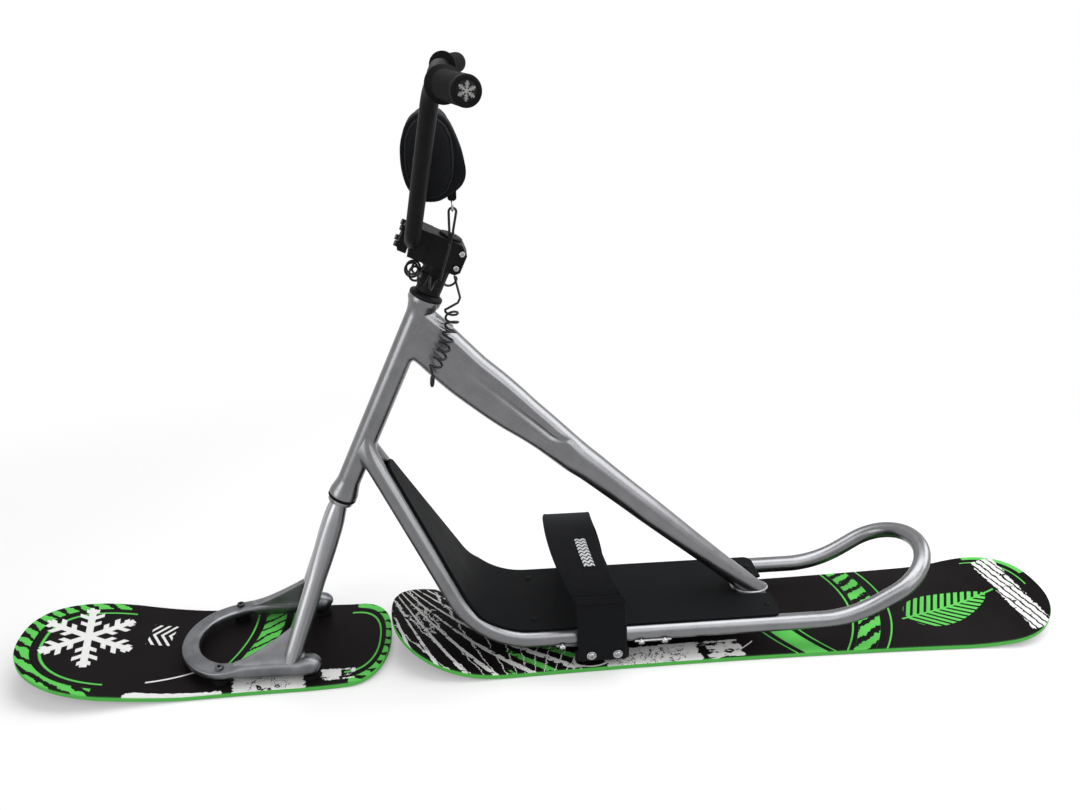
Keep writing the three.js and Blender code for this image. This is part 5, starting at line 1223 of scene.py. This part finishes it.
def shoe():
    path, sizes = [], []
    for x, half, tall, lift in shoe_stations():
        path.append(Vector((x, -LEG_Y, LEG_Z + lift)))
        sizes.append((half, tall, 2.15))
    steps = 48
    for i in range(steps + 1):
        turn = pi / 2 + i * pi / steps
        ease = min(1.0, min(i, steps - i) / 5)
        path.append(Vector((BAND_X + LEG_Y * cos(turn), -LEG_Y * sin(turn), LEG_Z - 3.5 * ease)))
        sizes.append((14, 7 + 2.6 * (1 - ease), 2.2 + 2.2 * ease))
    for x, half, tall, lift in reversed(shoe_stations()):
        path.append(Vector((x, LEG_Y, LEG_Z + lift)))
        sizes.append((half, tall, 2.15))

    def section(i):
        half, tall, power = sizes[i]
        return [(half * c, tall * s) for c, s in (rounded(2 * pi * k / 36, power) for k in range(36))]

    make("shoe_casting", swept(path, section), CAST, "steering", "front_shoe", sharp=60)
    for hand, name in SIDES:
        top, foot = blade_ends(hand)
        along = (top - foot).normalized()
        root = foot + along * (LEG_RADIUS / along.z)
        for word, reach, height, way in (("front", 90, 69, -1), ("rear", 26, 30, 1)):
            forward = Vector((way, 0, 0))
            across = forward.cross(along).normalized()
            rings = []
            for k in range(25):
                share = k / 24
                edge = height * (1 - share) ** 1.36 + 1.2 - 3.4 * share
                tall = edge + 3.5
                rounding = min(2.6, tall * 0.4)
                climbs = (0, 0.05, 0.1, 0.16, 0.24, 0.36, 0.6, 1)
                levels = [-10] + [-3.5 + (tall - rounding) * climb for climb in climbs]
                half = []
                for v in levels:
                    up = max(v + 3.5, 0)
                    half.append(4.5 + (1 - share) ** 0.4 * (3 * exp(-up / 2.6) + 3.6 * exp(-up / 24)))
                for turn in (30, 60, 82):
                    levels.append(edge - rounding + rounding * sin(radians(turn)))
                    half.append(half[8] * (0.35 + 0.65 * cos(radians(turn))))
                outline = list(zip(levels, half))
                outline += [(v, -w) for v, w in reversed(outline)]
                rings.append([root + forward * (reach * share) + along * v + across * w for v, w in outline])
            shape = skin(rings, [[p.copy() for p in ring] for ring in rings])
            make(f"shoe_web_{word}_{name}", shape, LIGHTENED_WEB_CAST, "steering", sharp=55)


fork()
shoe()


# Boards: wood core between printed sheets, rounded and curled ends

def curl_up(distance, length, rise, power):
    return rise * min(distance / length, 1) ** power if distance > 0 else 0.0


def board(name, node, body, finish, ends, halves, rounds, nose_curl, tail_curl, waist):
    """A board from nose to tail. A curl is a length, a rise and a power, the waist a share of the length."""
    nose, tail = ends
    nose_half, waist_half, tail_half = halves
    nose_round, tail_round = rounds
    power, thick = BOARD_ROUND_POWER, BOARD_THICK
    xs = []
    for k in range(41):
        turn = (k / 40) * pi / 2
        xs.append(nose + nose_round * (1 - cos(turn) ** (2 / power)))
        xs.append(tail - tail_round * (1 - cos(turn) ** (2 / power)))
    inner = (nose + nose_round, tail - tail_round)
    xs += [inner[0] + (inner[1] - inner[0]) * k / 60 for k in range(61)]
    kept = []
    for x in sorted(xs):
        if not kept or x - kept[-1] > 0.35:
            kept.append(x)

    def rounding(distance, length):
        share = min(max(distance / length, 0), 1)
        return max(0.0, 1 - share**power) ** (1 / power)

    rings, runs = [], []
    across = 20
    for x in kept:
        narrow = rounding(inner[0] - x, nose_round) * rounding(x - inner[1], tail_round)
        along = min(max((x - inner[0]) / (inner[1] - inner[0]), 0), 1)
        end = nose_half if along < waist else tail_half
        reach = waist if along < waist else 1 - waist
        half = (waist_half + (end - waist_half) * ((along - waist) / reach) ** 2) * narrow
        half = max(half, 0.8)
        base = curl_up(nose + nose_curl[0] - x, *nose_curl) + curl_up(x - (tail - tail_curl[0]), *tail_curl)
        chamfer = min(1.1, half * 0.4)
        ring = []
        for k in range(across + 1):
            ring.append((-half + chamfer + 2 * (half - chamfer) * k / across, thick))
        ring += [(half, thick - chamfer), (half, chamfer * 0.6)]
        for k in range(across + 1):
            ring.append((half - chamfer - 2 * (half - chamfer) * k / across, 0.0))
        ring += [(-half, chamfer * 0.6), (-half, thick - chamfer)]
        rings.append([Vector((x, y, base + z)) for y, z in ring])
        runs.append([Vector((y, x, z)) for y, z in ring])
    return make(name, skin(rings, runs), finish, body, node, sharp=28)


board("front_board_sheet", "front_board", "steering", FRONT_PRINT, FRONT_ENDS, FRONT_HALVES, FRONT_ROUNDS,
      (282, 52, 1.5), (80, 9, 1.6), 0.8)
board("rear_board_sheet", "rear_board", "frame", REAR_PRINT, REAR_ENDS, REAR_HALVES, REAR_ROUNDS,
      (195, 60, 2), (192, 36, 2), 0.4)


# Handlebar, grips and stem

BAR_TOP = 912
BAR_END = Vector((-132.5, -324, BAR_TOP))
BAR_KNEE = Vector((-168, -165, BAR_TOP))
BAR_CLAMP = on_axis(STEM_BASE + 26, -STEM_REACH)
BAR_FOOT = Vector((BAR_CLAMP.x, -56, BAR_CLAMP.z))
CROSSBAR_Z = 816
BAR_RADIUS, CROSSBAR_RADIUS = 11.1, 9.5
GRIP_WAY = (BAR_KNEE - BAR_END).normalized()
CROSS_LEFT = BAR_FOOT.lerp(BAR_KNEE, (CROSSBAR_Z - BAR_FOOT.z) / (BAR_KNEE.z - BAR_FOOT.z))


def handlebar():
    corners = [BAR_END + GRIP_WAY * 4.3, BAR_KNEE, BAR_FOOT]
    path = bent(corners + other_side(corners), [52, 40, 40, 52])
    bar = tube(path, BAR_RADIUS, 32)
    cross = tube([CROSS_LEFT, sided(CROSS_LEFT, -1)], CROSSBAR_RADIUS, 28, Vector((1, 0, 0)))
    make("bent_bar", joined(bar, cross), BLACK, "steering", "handlebar")
    up = (BAR_KNEE - BAR_FOOT).normalized()
    for hand, name in ((1, "left"), (-1, "right")):
        loop = []
        centre, way = sided(CROSS_LEFT, hand), sided(up, hand)
        for a, b in circle(10, 40):
            reach = Vector((a, 0, b))
            slide = way * reach.dot(way)
            depth = sqrt(max(0, 11.3**2 - min((reach - slide).length, 11.2) ** 2))
            loop.append(centre + reach + Vector((0, slide.y + hand * depth * 0.98, 0)))
        make("crossbar_weld_" + name, bead(loop, 1.8), BLACK, "steering")


def grips():
    length = 104 / abs(GRIP_WAY.y)
    profile = [(0, 0.9), (11.5, 0.9), (12.1, 0.1), (14.4, 0), (15.7, 0.6), (16.2, 2)]
    start, room = 8.0, length - 16.0
    rings = 22
    for i in range(rings):
        z = start + room * i / rings
        pitch = room / rings
        profile += [(16.2, z), (16.2, z + pitch * 0.45), (15.1, z + pitch * 0.6), (15.1, z + pitch * 0.85)]
    profile += [(16.2, length - 8), (17.4, length - 6), (20.8, length - 4.4), (21.3, length - 3.6),
                (21.3, length - 0.6), (20.8, length), (11.4, length)]
    shape = placed(turned(profile, 48), aimed(BAR_END, GRIP_WAY))
    make("left_grip_rubber", shape, GRIP, "steering", "left_grip", sharp=38)
    make("right_grip_rubber", mirrored(shape), GRIP, "steering", "right_grip", sharp=38)
    cap = [(0, -0.1), (10.3, -0.1), (11, 0.25), (11.1, 1)]
    plug = placed(turned(cap, 36), aimed(BAR_END + GRIP_WAY * 0.6, GRIP_WAY))
    make("left_bar_plug", plug, CAP_PRINT, "steering", sharp=30)
    make("right_bar_plug", mirrored(plug), CAP_PRINT, "steering", sharp=30)


def dome_head(radius, height, hexagon):
    """A domed screw head with a hexagon socket."""
    return socket_head(radius, height, hexagon, ((1, 0.16), (0.96, 0.4), (0.86, 0.66), (0.7, 0.87)))


def socket_head(radius, height, hexagon, shoulders=((1, 0.65), (0.93, 0.9), (0.8, 1))):
    """A round screw head with a hexagon socket, its seat at the origin and its top along Z."""
    sides = 30
    profile = [(0.001, 0), (radius, 0)] + [(radius * girth, height * up) for girth, up in shoulders]
    points, faces, runs = turned(profile + [(hexagon * 1.25, height)], sides)
    # The cap on top gives way to the socket
    faces.pop()
    ring = len(points) - sides
    hexed = []
    for i in range(sides):
        a = 2 * pi * i / sides
        fold = (a % (pi / 3)) - pi / 6
        reach = hexagon * cos(pi / 6) / cos(fold)
        hexed.append(Vector((reach * cos(a), reach * sin(a), height)))
    floor = [Vector((p.x * 0.97, p.y * 0.97, height * 0.35)) for p in hexed]
    base = len(points)
    points += hexed + floor
    runs += [p.copy() for p in hexed + floor]
    for i in range(sides):
        j = (i + 1) % sides
        faces.append([ring + i, ring + j, base + j, base + i])
        faces.append([base + i, base + j, base + sides + j, base + sides + i])
    faces.append([base + sides + i for i in range(sides)])
    return points, faces, runs


def stem():
    dress(["stem_body", "stem_face_plate"], BLACK, bevel=0.9)
    heads = []
    for side in (LEFT, RIGHT):
        for along in (STEM_BASE + 10.2, STEM_TOP - 10.2):
            place = on_axis(along, -STEM_REACH - 19, side * 19)
            heads.append(placed(socket_head(4.1, 2.6, 2.0), aimed(place, -BACK)))
    for along in (STEM_BASE + 11, STEM_TOP - 11):
        place = on_axis(along, 22, -25)
        heads.append(placed(socket_head(4.1, 3.2, 2.0), aimed(place, Vector((0, -1, 0)))))
    make("stem_screw_heads", joined(*heads[:4]), DULL_STEEL, "steering", sharp=30)
    make("stem_side_screw_heads", joined(*heads[4:]), STEEL, "steering", sharp=30)
    z = STEM_TOP
    cap = [(16.4, z + 0.1), (17, z + 0.6), (17, z + 2.4), (16.3, z + 3.3), (14.6, z + 4), (8.2, z + 4),
           (7.4, z + 3.2), (0, z + 3.2)]
    make("cap_disc", in_head(turned(cap, 44)), BLACK, "steering", "top_cap", sharp=30)
    screw = placed(socket_head(4.9, 2.6, 2.4), aimed(on_axis(z + 3.2), AXIS))
    make("cap_screw", screw, DULL_STEEL, "steering", sharp=30)
    z = HEAD_TUBE + FIT
    cover = [(14.6, z), (24.4, z), (24.8, z + 0.5), (24.8, z + 3.4), (24.2, z + 4.6), (19.6, z + 7.6),
             (18.7, z + 8), (14.6, z + 8)]
    shell = in_head(turned(cover, 56))
    make("headset_shell", shell, BLACK, body_of("headset_cover"), "headset_cover", sharp=30)
    low, high = z + 8 + FIT, STEM_BASE - FIT
    stack = [(14.6, low)]
    count = 3
    tall = (high - low) / count
    for i in range(count):
        a = low + i * tall
        stack += [(17.9, a + 0.1), (18.5, a + 0.7), (18.5, a + tall - 0.7), (17.9, a + tall - 0.1)]
    stack += [(14.6, high)]
    make("spacer_stack", in_head(turned(stack, 48)), BLACK, "steering", "spacer", sharp=30)
    seal = [(14.6, -5), (21.9, -5), (22.5, -4.4), (22.5, -3.1), (21.7, -2.7), (22.5, -2.3), (22.5, -0.8),
            (22, -0.3), (14.6, -0.3)]
    make("seal_ring", in_head(turned(seal, 48)), RUBBER, body_of("lower_seal"), "lower_seal", sharp=30)


def body_of(node):
    """The body that a CAD node rides on."""
    groups = frame["record"]["behaviour"]["bodies"]
    return next(body for body, nodes in groups.items() if node in nodes)


handlebar()
grips()
stem()


# Crossbar pad and leash cuff

PAD_X = CROSS_LEFT.x + 8
PAD_Z = CROSSBAR_Z - 2
PAD_HALF_DEPTH, PAD_HALF_HEIGHT, PAD_HALF_LENGTH = 33, 53, 80


def pad_oval(turn, grown=0.0):
    """The pad's outline as x and z, grown outwards."""
    c, s = rounded(turn, 2.3)
    return PAD_X + (PAD_HALF_DEPTH + grown) * c, PAD_Z + (PAD_HALF_HEIGHT + grown) * s


# The cuff's two edges along Y, and how far outwards the foam may swell the cover
CUFF_LEFT, CUFF_RIGHT = -71.0, -29.0
SWELL_LIMIT = 5.5


def swollen(shape):
    """The cover as its foam swells it: cloth under pressure, held where the cuff is drawn tight."""
    points, faces, _ = shape
    scene = bpy.context.scene
    mesh = bpy.data.meshes.new("swelling_cover")
    mesh.from_pydata([p * MM for p in points], [], faces)
    obj = bpy.data.objects.new("swelling_cover", mesh)
    scene.collection.objects.link(obj)
    even = obj.modifiers.new("even_mesh", "REMESH")
    even.mode = "VOXEL"
    even.voxel_size = 5 * MM
    mesh = bpy.data.meshes.new_from_object(obj.evaluated_get(bpy.context.evaluated_depsgraph_get()))
    obj.modifiers.clear()
    obj.data = mesh
    starts = [v.co / MM for v in mesh.vertices]
    cloth = obj.modifiers.new("filling", "CLOTH")
    cloth.settings.quality = 6
    cloth.settings.use_pressure = True
    cloth.settings.uniform_pressure_force = 4
    cloth.settings.effector_weights.gravity = 0
    for number in range(1, 21):
        scene.frame_set(number)
    after = obj.evaluated_get(bpy.context.evaluated_depsgraph_get()).data
    moved = []
    for start, vertex in zip(starts, after.vertices):
        step = vertex.co / MM - start
        free = min(max(max(CUFF_LEFT - start.y, start.y - CUFF_RIGHT) / 12, 0), 1)
        moved.append(start + step * min(1, SWELL_LIMIT * free / max(step.length, 1e-6)))
    faces = [list(face.vertices) for face in mesh.polygons]
    scene.frame_set(1)
    bpy.data.objects.remove(obj)
    return moved, faces, [p.copy() for p in moved]


def pad():
    crown = ((-1, 0.62), (-0.985, 0.8), (-0.965, 0.9), (-0.935, 0.96), (-0.9, 0.985), (-0.8, 0.997),
             (-0.65, 1), (-0.5, 1))
    crown += tuple((-a, g) for a, g in reversed(crown))
    stations = sorted({a for a, _ in crown} | {k / 24 for k in range(-22, 23)})
    rings, runs = [], []
    for along in stations:
        girth = between(crown, along)[0]
        ring = []
        for k in range(72):
            turn = 2 * pi * k / 72
            x, z = pad_oval(turn)
            slack = noise.noise(Vector((along * 4.2, 3 * cos(turn), 3 * sin(turn)))) * 1.2
            slack += noise.noise(Vector((along * 9.0, 7 * cos(turn), 7 * sin(turn)))) * 0.5
            grow = girth - max(0, slack) * 0.018
            y = PAD_HALF_LENGTH * along
            ring.append(Vector((PAD_X + (x - PAD_X) * grow, y, PAD_Z + (z - PAD_Z) * grow)))
        rings.append(ring)
        runs.append([p.copy() for p in ring])
    shape = skin(rings, runs)
    shape = swollen(shape)
    obj = make("pad_cover", shape, CLOTH, "steering", "crossbar_pad", sharp=70, rounds=1)
    cover = BVHTree.FromPolygons(shape[0], shape[1])
    seams = []
    for side in (LEFT, RIGHT):
        loop = []
        for k in range(96):
            x, z = pad_oval(2 * pi * k / 96)
            loop.append(cover.find_nearest(Vector((x, side * (PAD_HALF_LENGTH - 1), z)))[0])
        seams.append(tube(loop, 1.1, 8, closed=True))
    make("pad_piping", joined(*seams), PIPING, "steering")


def cuff():
    bulge_turn, spread = radians(-18), radians(26)
    rings, runs = [], []
    y0, y1 = CUFF_LEFT, CUFF_RIGHT
    stations = [y0 + (y1 - y0) * k / 16 for k in range(17)]

    def grown(turn, y):
        away = (turn - bulge_turn + pi) % (2 * pi) - pi
        hump = 11 * exp(-((away / spread) ** 2))
        edge = min(y - y0, y1 - y) / 3.0
        roll = sqrt(max(0.0, 1 - (1 - min(edge, 1)) ** 2))
        wave = 0.5 * noise.noise(Vector((y * 0.05, 3 * cos(turn), 3 * sin(turn))))
        return 0.4 + (3.5 + hump) * (0.35 + 0.65 * roll) + wave * roll

    for y in stations:
        ring, run = [], []
        for k in range(96):
            turn = 2 * pi * k / 96
            x, z = pad_oval(turn, grown(turn, y))
            ring.append(Vector((x, y, z)))
            run.append(Vector((y, 1.5 * (x + z), 0)))
        rings.append(ring)
        runs.append(run)
    for y in (stations[-1], stations[0]):
        ring = [Vector((x, y, z)) for x, z in [pad_oval(2 * pi * k / 96, -1.6) for k in range(96)]]
        rings.append(ring)
        runs.append([Vector((y, 1.5 * (p.x + p.z), 0)) for p in ring])
    make("cuff_wrap", skin(rings, runs, closed=True), WEB, "steering", "leash_cuff", sharp=60)
    eye_z = RING.z + RING_RADIUS + 2.8 - RING_WIRE * 0.75
    outline = []
    for k in range(13):
        turn = pi + pi * k / 12
        outline.append((RING.x + 6 * cos(turn), eye_z + 1.2 + 4.4 * sin(turn)))
    outline += [(RING.x + 6, eye_z + 17), (RING.x - 6, eye_z + 17)]
    tab = placed(prism(outline, RING.y - 2, RING.y + 2), upright())
    make("cuff_tab", tab, WEB, "steering", bevel=0.8)
    loop = [RING + Vector((0, b, a)) for a, b in circle(RING_RADIUS, 48)]
    make("split_ring", tube(loop, RING_WIRE, 14, Vector((1, 0, 0)), closed=True), STEEL, "steering")


pad()
cuff()


# Foot strap

STRAP_X, STRAP_LEAN = 64, 44
STRAP_SPAN, STRAP_FOOT, STRAP_SPRING, STRAP_RISE = 104.3, 22, 141, 63
STRAP_THICK = 3.5
LEFT_LEAN, RIGHT_LEAN = 6, 21
STRAP_STEP = radians(9)
STITCH, STITCH_RADIUS = 3.4, 0.35
# The label's place across the flap, its half width, and the flap's stations that it covers
LABEL_X, LABEL_HALF, LABEL_ROWS = 12, 10, (22, 37)


def spring_lean(turn):
    """How far forward the arch leans where it springs from its uprights."""
    return LEFT_LEAN + (RIGHT_LEAN - LEFT_LEAN) * (1 - cos(turn)) / 2


def arch(turn, offset):
    """A point on the strap's arch: an angle from the left foot over the top, and an offset outwards."""
    lean = max(sin(turn), 0) ** 0.9
    return Vector((
        STRAP_X - STRAP_LEAN * lean - spring_lean(turn) * (1 - lean),
        -(STRAP_SPAN + offset) * cos(turn),
        STRAP_SPRING + (STRAP_RISE + offset) * sin(turn),
    ))


def strap_upright(side, share, offset):
    """A point on an upright, from the foot at share 0 to the arch at share 1."""
    lean = spring_lean(0 if side == LEFT else pi) * share**2
    z = STRAP_FOOT + (STRAP_SPRING - STRAP_FOOT) * share
    return Vector((STRAP_X - lean, side * (STRAP_SPAN + offset), z))


def band(stations, width, thick, hem=0.5):
    """A flat band over stations, and its length. station(offset) is its place at a depth of the band."""
    rings, runs, far, last = [], [], 0.0, None
    half = width / 2
    for station in stations:
        low, high = station(0.0), station(thick)
        middle = (low + high) / 2
        if last is not None:
            far += (middle - last).length
        last = middle
        across = 14
        edge = thick * 0.42
        ring, run = [], []
        for k in range(across + 1):
            a = -half + edge + 2 * (half - edge) * k / across
            lift = hem * (1 if abs(a) > half - 4.5 else 0) * 0.6
            ring.append(Vector((high.x + a, high.y, high.z)) + (high - low).normalized() * (lift - hem * 0.6))
            run.append(Vector((a, far, thick)))
        ring.append(Vector((middle.x + half, middle.y, middle.z)))
        run.append(Vector((half, far, thick / 2)))
        for k in range(across + 1):
            a = half - edge - 2 * (half - edge) * k / across
            ring.append(Vector((low.x + a, low.y, low.z)))
            run.append(Vector((a, far, 0)))
        ring.append(Vector((middle.x - half, middle.y, middle.z)))
        run.append(Vector((-half, far, thick / 2)))
        rings.append(ring)
        runs.append(run)
    return skin(rings, runs), far


def stitches(stations, across):
    """A row of raised stitches along a band."""
    line = evenly([s(0.0) + Vector((across, 0, 0)) for s in stations], 1.3)
    made = []
    for i in range(0, len(line) - 4, 4):
        a, b = line[i], line[i + 2] + (line[i + 3] - line[i + 2]) * 0.6
        made.append(tube([a, a.lerp(b, 0.5), b], STITCH_RADIUS, 5, Vector((1, 0, 0))))
    return joined(*made)


def strap():
    thick = STRAP_THICK
    layer = thick + FIT
    hinge = 13 * STRAP_STEP

    def upright_station(side, share, shift):
        return lambda offset: strap_upright(side, share, shift + offset)

    def arch_station(turn, shift):
        return lambda offset: arch(turn, shift + offset)

    def side_band(side, reach, inner):
        """Stations of a band that is screwed down at a side, and climbs to its place in the arch."""
        made = [upright_station(side, k / 14, 0) for k in range(14)]
        for i in range(49):
            turn = reach * i / 48
            made.append(arch_station(turn if side == LEFT else pi - turn, inner * min(1, 2 * i / 48)))
        return made

    left = side_band(LEFT, 12 * STRAP_STEP, 0)
    right = side_band(RIGHT, pi - hinge, layer)
    low = 5 / (STRAP_SPRING - STRAP_FOOT)
    flap = [upright_station(LEFT, 1 - low * (1 - k / 4), layer) for k in range(4)]
    flap += [arch_station(min(hinge * i / 52, hinge - FIT / STRAP_RISE), layer) for i in range(53)]
    parts = (
        ("strap_band_left", "foot_strap_left_band", left, 80, "frame", "strap_bracket_left"),
        ("strap_band_right", "foot_strap_right_band", right, 80, "frame", "strap_bracket_right"),
        ("strap_flap_band", "foot_strap_flap", flap, 81, "strap_flap", "strap_band_left"),
    )
    for name, node, rows, width, body, under in parts:
        shape, length = band(rows, width, thick)
        outer = [lambda offset, s=s: s(thick + 0.1) for s in rows]
        sewn = [stitches(outer, side * (width / 2 - 3.2)) for side in (LEFT, RIGHT)]
        if body == "strap_flap":
            sewn.append(cross_stitches(rows[5](thick + 1.75), width))
            turned_up, _ = band([lambda offset, s=s: s(thick + offset) for s in rows[:8]], width, 1.5, hem=0)
            make("strap_flap_hem", turned_up, WEB, body, sharp=60)
        obj = make(name, shape, WEB, body, node, sharp=60)
        make(name + "_stitches", joined(*sewn), THREAD, body, sharp=60)
        pieces = [name + "_stitches"]
        if body == "strap_flap":
            pieces += ["strap_label", "strap_flap_hem"]
            woven_label(rows, thick)
        length * MM


def cross_stitches(place, width):
    """A row of stitches across a band, at a place on its outer face."""
    made, pitch, room = [], 5.2, width - 8
    for k in range(int(room / pitch)):
        start = place + Vector((k * pitch - room / 2, 0, 0))
        made.append(tube([start, start + Vector((STITCH, 0, 0))], STITCH_RADIUS, 5))
    return joined(*made)


def woven_label(rows, thick):
    """A sewn-on label with a plain woven zigzag."""
    rings, runs = [], []
    far, last = 0.0, None
    edge, top = LABEL_HALF, LABEL_HALF - 0.4
    for station in rows[LABEL_ROWS[0]:LABEL_ROWS[1]]:
        low, high = station(thick + 0.05), station(thick + 0.9)
        if last is not None:
            far += (low - last).length
        last = low
        corners = ((low, -edge, 0), (low, edge, 0), (high, top, 1), (high, -top, 1))
        rings.append([p + Vector((LABEL_X + a, 0, 0)) for p, a, _ in corners])
        runs.append([Vector((a, far, b)) for _, a, b in corners])
    make("strap_label", skin(rings, runs), LABEL, "strap_flap", sharp=40)


strap()


# Fasteners, dampers and plates

# The middles along X of the two mount plates, each with a pair of dampers and two pairs of rail bolts
MOUNT_X = (19.5, 148.5)


def at(x, y, z):
    return Matrix.Translation((x, y, z))


def fasteners():
    low = BOARD_THICK + FIT
    for x, place in ((-544.2, "front"), (-403.6, "rear")):
        under = LEG_Z - 3.5 - 7 if x < BAND_X else LEG_Z - LEG_RADIUS
        high = under - FIT
        tall = high - low
        for y, side in ((-LEG_Y, "left"), (LEG_Y, "right")):
            puck = [(0.01, low), (12.2, low), (13, low + 0.6), (13, low + tall * 0.4), (12.3, low + tall / 2),
                    (13, low + tall * 0.6), (13, high - 0.6), (12.2, high), (0.01, high)]
            make(f"front_puck_{place}_{side}", placed(turned(puck, 40), at(x, y, 0)), RUBBER,
                 "steering", f"front_damper_{place}_{side}", sharp=30)
            head = placed(socket_head(6.5, 7, 3.1), at(x, y, 34))
            shank = placed(disc(4, 3.4, 34.2, 20), at(x, y, 0))
            make(f"front_screw_{place}_{side}", joined(head, shank), DULL_STEEL, "steering",
                 f"front_bolt_{place}_{side}", sharp=30)
    for x, place in zip(MOUNT_X, ("front", "rear")):
        for y, side in ((-40, "left"), (40, "right")):
            high = 18 - FIT
            puck = [(0.01, low), (15.2, low), (16, low + 0.7), (16, 12.8), (15.2, 13.5), (16, 14.2),
                    (16, high - 0.7), (15.2, high), (0.01, high)]
            make(f"rear_puck_{place}_{side}", placed(turned(puck, 40), at(x, y, 0)), RUBBER,
                 "frame", f"rear_damper_{place}_{side}", sharp=30)
    dress(["mount_plate_front", "mount_plate_rear"], PLATE, bevel=0.5)
    dress(["strap_bracket_left", "strap_bracket_right"], BLACK, bevel=0.5)
    dress(["lower_bearing", "upper_bearing"], STEEL)
    number = {LEFT: 0, RIGHT: 0}
    for x in MOUNT_X:
        for end in (-1, 1):
            for side, word in SIDES:
                number[side] += 1
                way = Vector((0, side * cos(radians(34)), -sin(radians(34))))
                seat = Vector((x + end * 19.5, side * RAIL_Y, RAIL_Z)) + way * (RAIL_RADIUS + FIT + 3 + FIT)
                head = placed(dome_head(6, 4, 2.1), aimed(seat, way))
                shank = placed(disc(3, -15, 0.2, 16, 0.3), aimed(seat, way))
                make(f"rail_screw_{word}_{number[side]}", joined(head, shank), STEEL, "frame",
                     f"rail_bolt_{word}_{number[side]}", sharp=34)
    for x, y, word in ((-42, 58, "front"), (352, 56, "rear")):
        for side, hand in SIDES:
            head = placed(dome_head(4.5, 2.2, 1.8), at(x, side * y, 74.6))
            shank = placed(disc(2.5, -11, 0.1, 16, 0.3), at(x, side * y, 74.6))
            make(f"deck_button_{word}_{hand}", joined(head, shank), BLACK, "frame",
                 f"deck_screw_{word}_{hand}", sharp=34)
    for x, word in ((46, "front"), (89, "rear")):
        for side, hand in SIDES:
            way = Vector((0, side, 0))
            seat = Vector((x, side * (STRAP_SPAN + STRAP_THICK + FIT), 33))
            washer = placed(turned([(2.6, 0), (7.5, 0), (7.9, 0.3), (7.9, 0.9), (7.5, 1.2), (2.6, 1.2)], 32),
                            aimed(seat, way))
            head = placed(dome_head(5.5, 2.6, 1.9), aimed(seat + way * 1.2, way))
            shank = placed(disc(2.5, -12, 1.2, 16, 0.3), aimed(seat, way))
            make(f"strap_button_{hand}_{word}", joined(washer, head, shank), STEEL, "frame",
                 f"strap_screw_{hand}_{word}", sharp=34)


fasteners()


# Floor, backdrop and lights

def floor():
    f = Finish("studio_floor", colour=grey(0.47), roughness=0.9)
    f.shader.inputs["Specular IOR Level"].default_value = 0.0
    rays = [f.node("LightPath", {}, out=k) for k in (0, 3)]
    ray = rays[0] | rays[1]
    x, y, _ = f.parts(f.place())
    far = (x * x * 0.36 + y * y).root().rise(0.55, 1.3)
    glow = f.node("Emission", {}, (1, 1, 1, 1), 0.29)
    white = f.node("Emission", {}, (1, 1, 1, 1), 1.0)
    none = f.node("Emission", {}, (1, 1, 1, 1), 0.0)
    lit = f.node("AddShader", {}, Wire(f, f.shader.outputs[0]), f.node("MixShader", {}, ray, none, glow))
    both = f.node("MixShader", {}, far * ray, lit, white)
    f.tree.links.new(both.socket, f.end.inputs["Surface"])
    mesh = bpy.data.meshes.new("studio_floor")
    reach = 9
    corners = [(-reach, -reach, 0), (reach, -reach, 0), (reach, reach, 0), (-reach, reach, 0)]
    mesh.from_pydata(corners, [], [(0, 1, 2, 3)])
    mesh.materials.append(f.material)
    obj = bpy.data.objects.new("studio_floor", mesh)
    obj.location.z = -0.0005
    bpy.context.scene.collection.objects.link(obj)


def world():
    sky = bpy.data.worlds.new("studio")
    sky.use_nodes = True
    tree = sky.node_tree
    tree.nodes.clear()
    end = tree.nodes.new("ShaderNodeOutputWorld")
    soft, plain = [tree.nodes.new("ShaderNodeBackground") for _ in range(2)]
    soft.inputs["Color"].default_value = (1, 1, 1, 1)
    soft.inputs["Strength"].default_value = 0.24
    plain.inputs["Color"].default_value = (1, 1, 1, 1)
    plain.inputs["Strength"].default_value = 1.0
    ray = tree.nodes.new("ShaderNodeLightPath")
    mix = tree.nodes.new("ShaderNodeMixShader")
    seen = []
    for kind in ("Is Camera Ray", "Is Glossy Ray", "Is Transmission Ray"):
        seen.append(ray.outputs[kind])
    for _ in range(2):
        most = tree.nodes.new("ShaderNodeMath")
        most.operation = "MAXIMUM"
        tree.links.new(seen.pop(), most.inputs[0])
        tree.links.new(seen.pop(), most.inputs[1])
        seen.append(most.outputs[0])
    tree.links.new(seen[0], mix.inputs["Fac"])
    tree.links.new(soft.outputs[0], mix.inputs[1])
    tree.links.new(plain.outputs[0], mix.inputs[2])
    tree.links.new(mix.outputs[0], end.inputs["Surface"])
    bpy.context.scene.world = sky


floor()
world()
lamp("key", (250, 350, 2350), (0, 0, 200), 3000, 1500, 72)
lamp("front_soft", (0, -1500, 1950), (0, 0, 350), 3200, 1300, 26)
lamp("right_key", (2250, 200, 1550), (100, 0, 300), 2000, 1300, 38)
lamp("left_fill", (-2500, -1400, 1000), (-200, 0, 300), 1500, 1500, 26)
lamp("right_fill", (1800, -1700, 1300), (100, 0, 200), 1600, 1200, 15)
bpy.context.scene.view_settings.view_transform = "Standard"

bpy.context.view_layer.update()
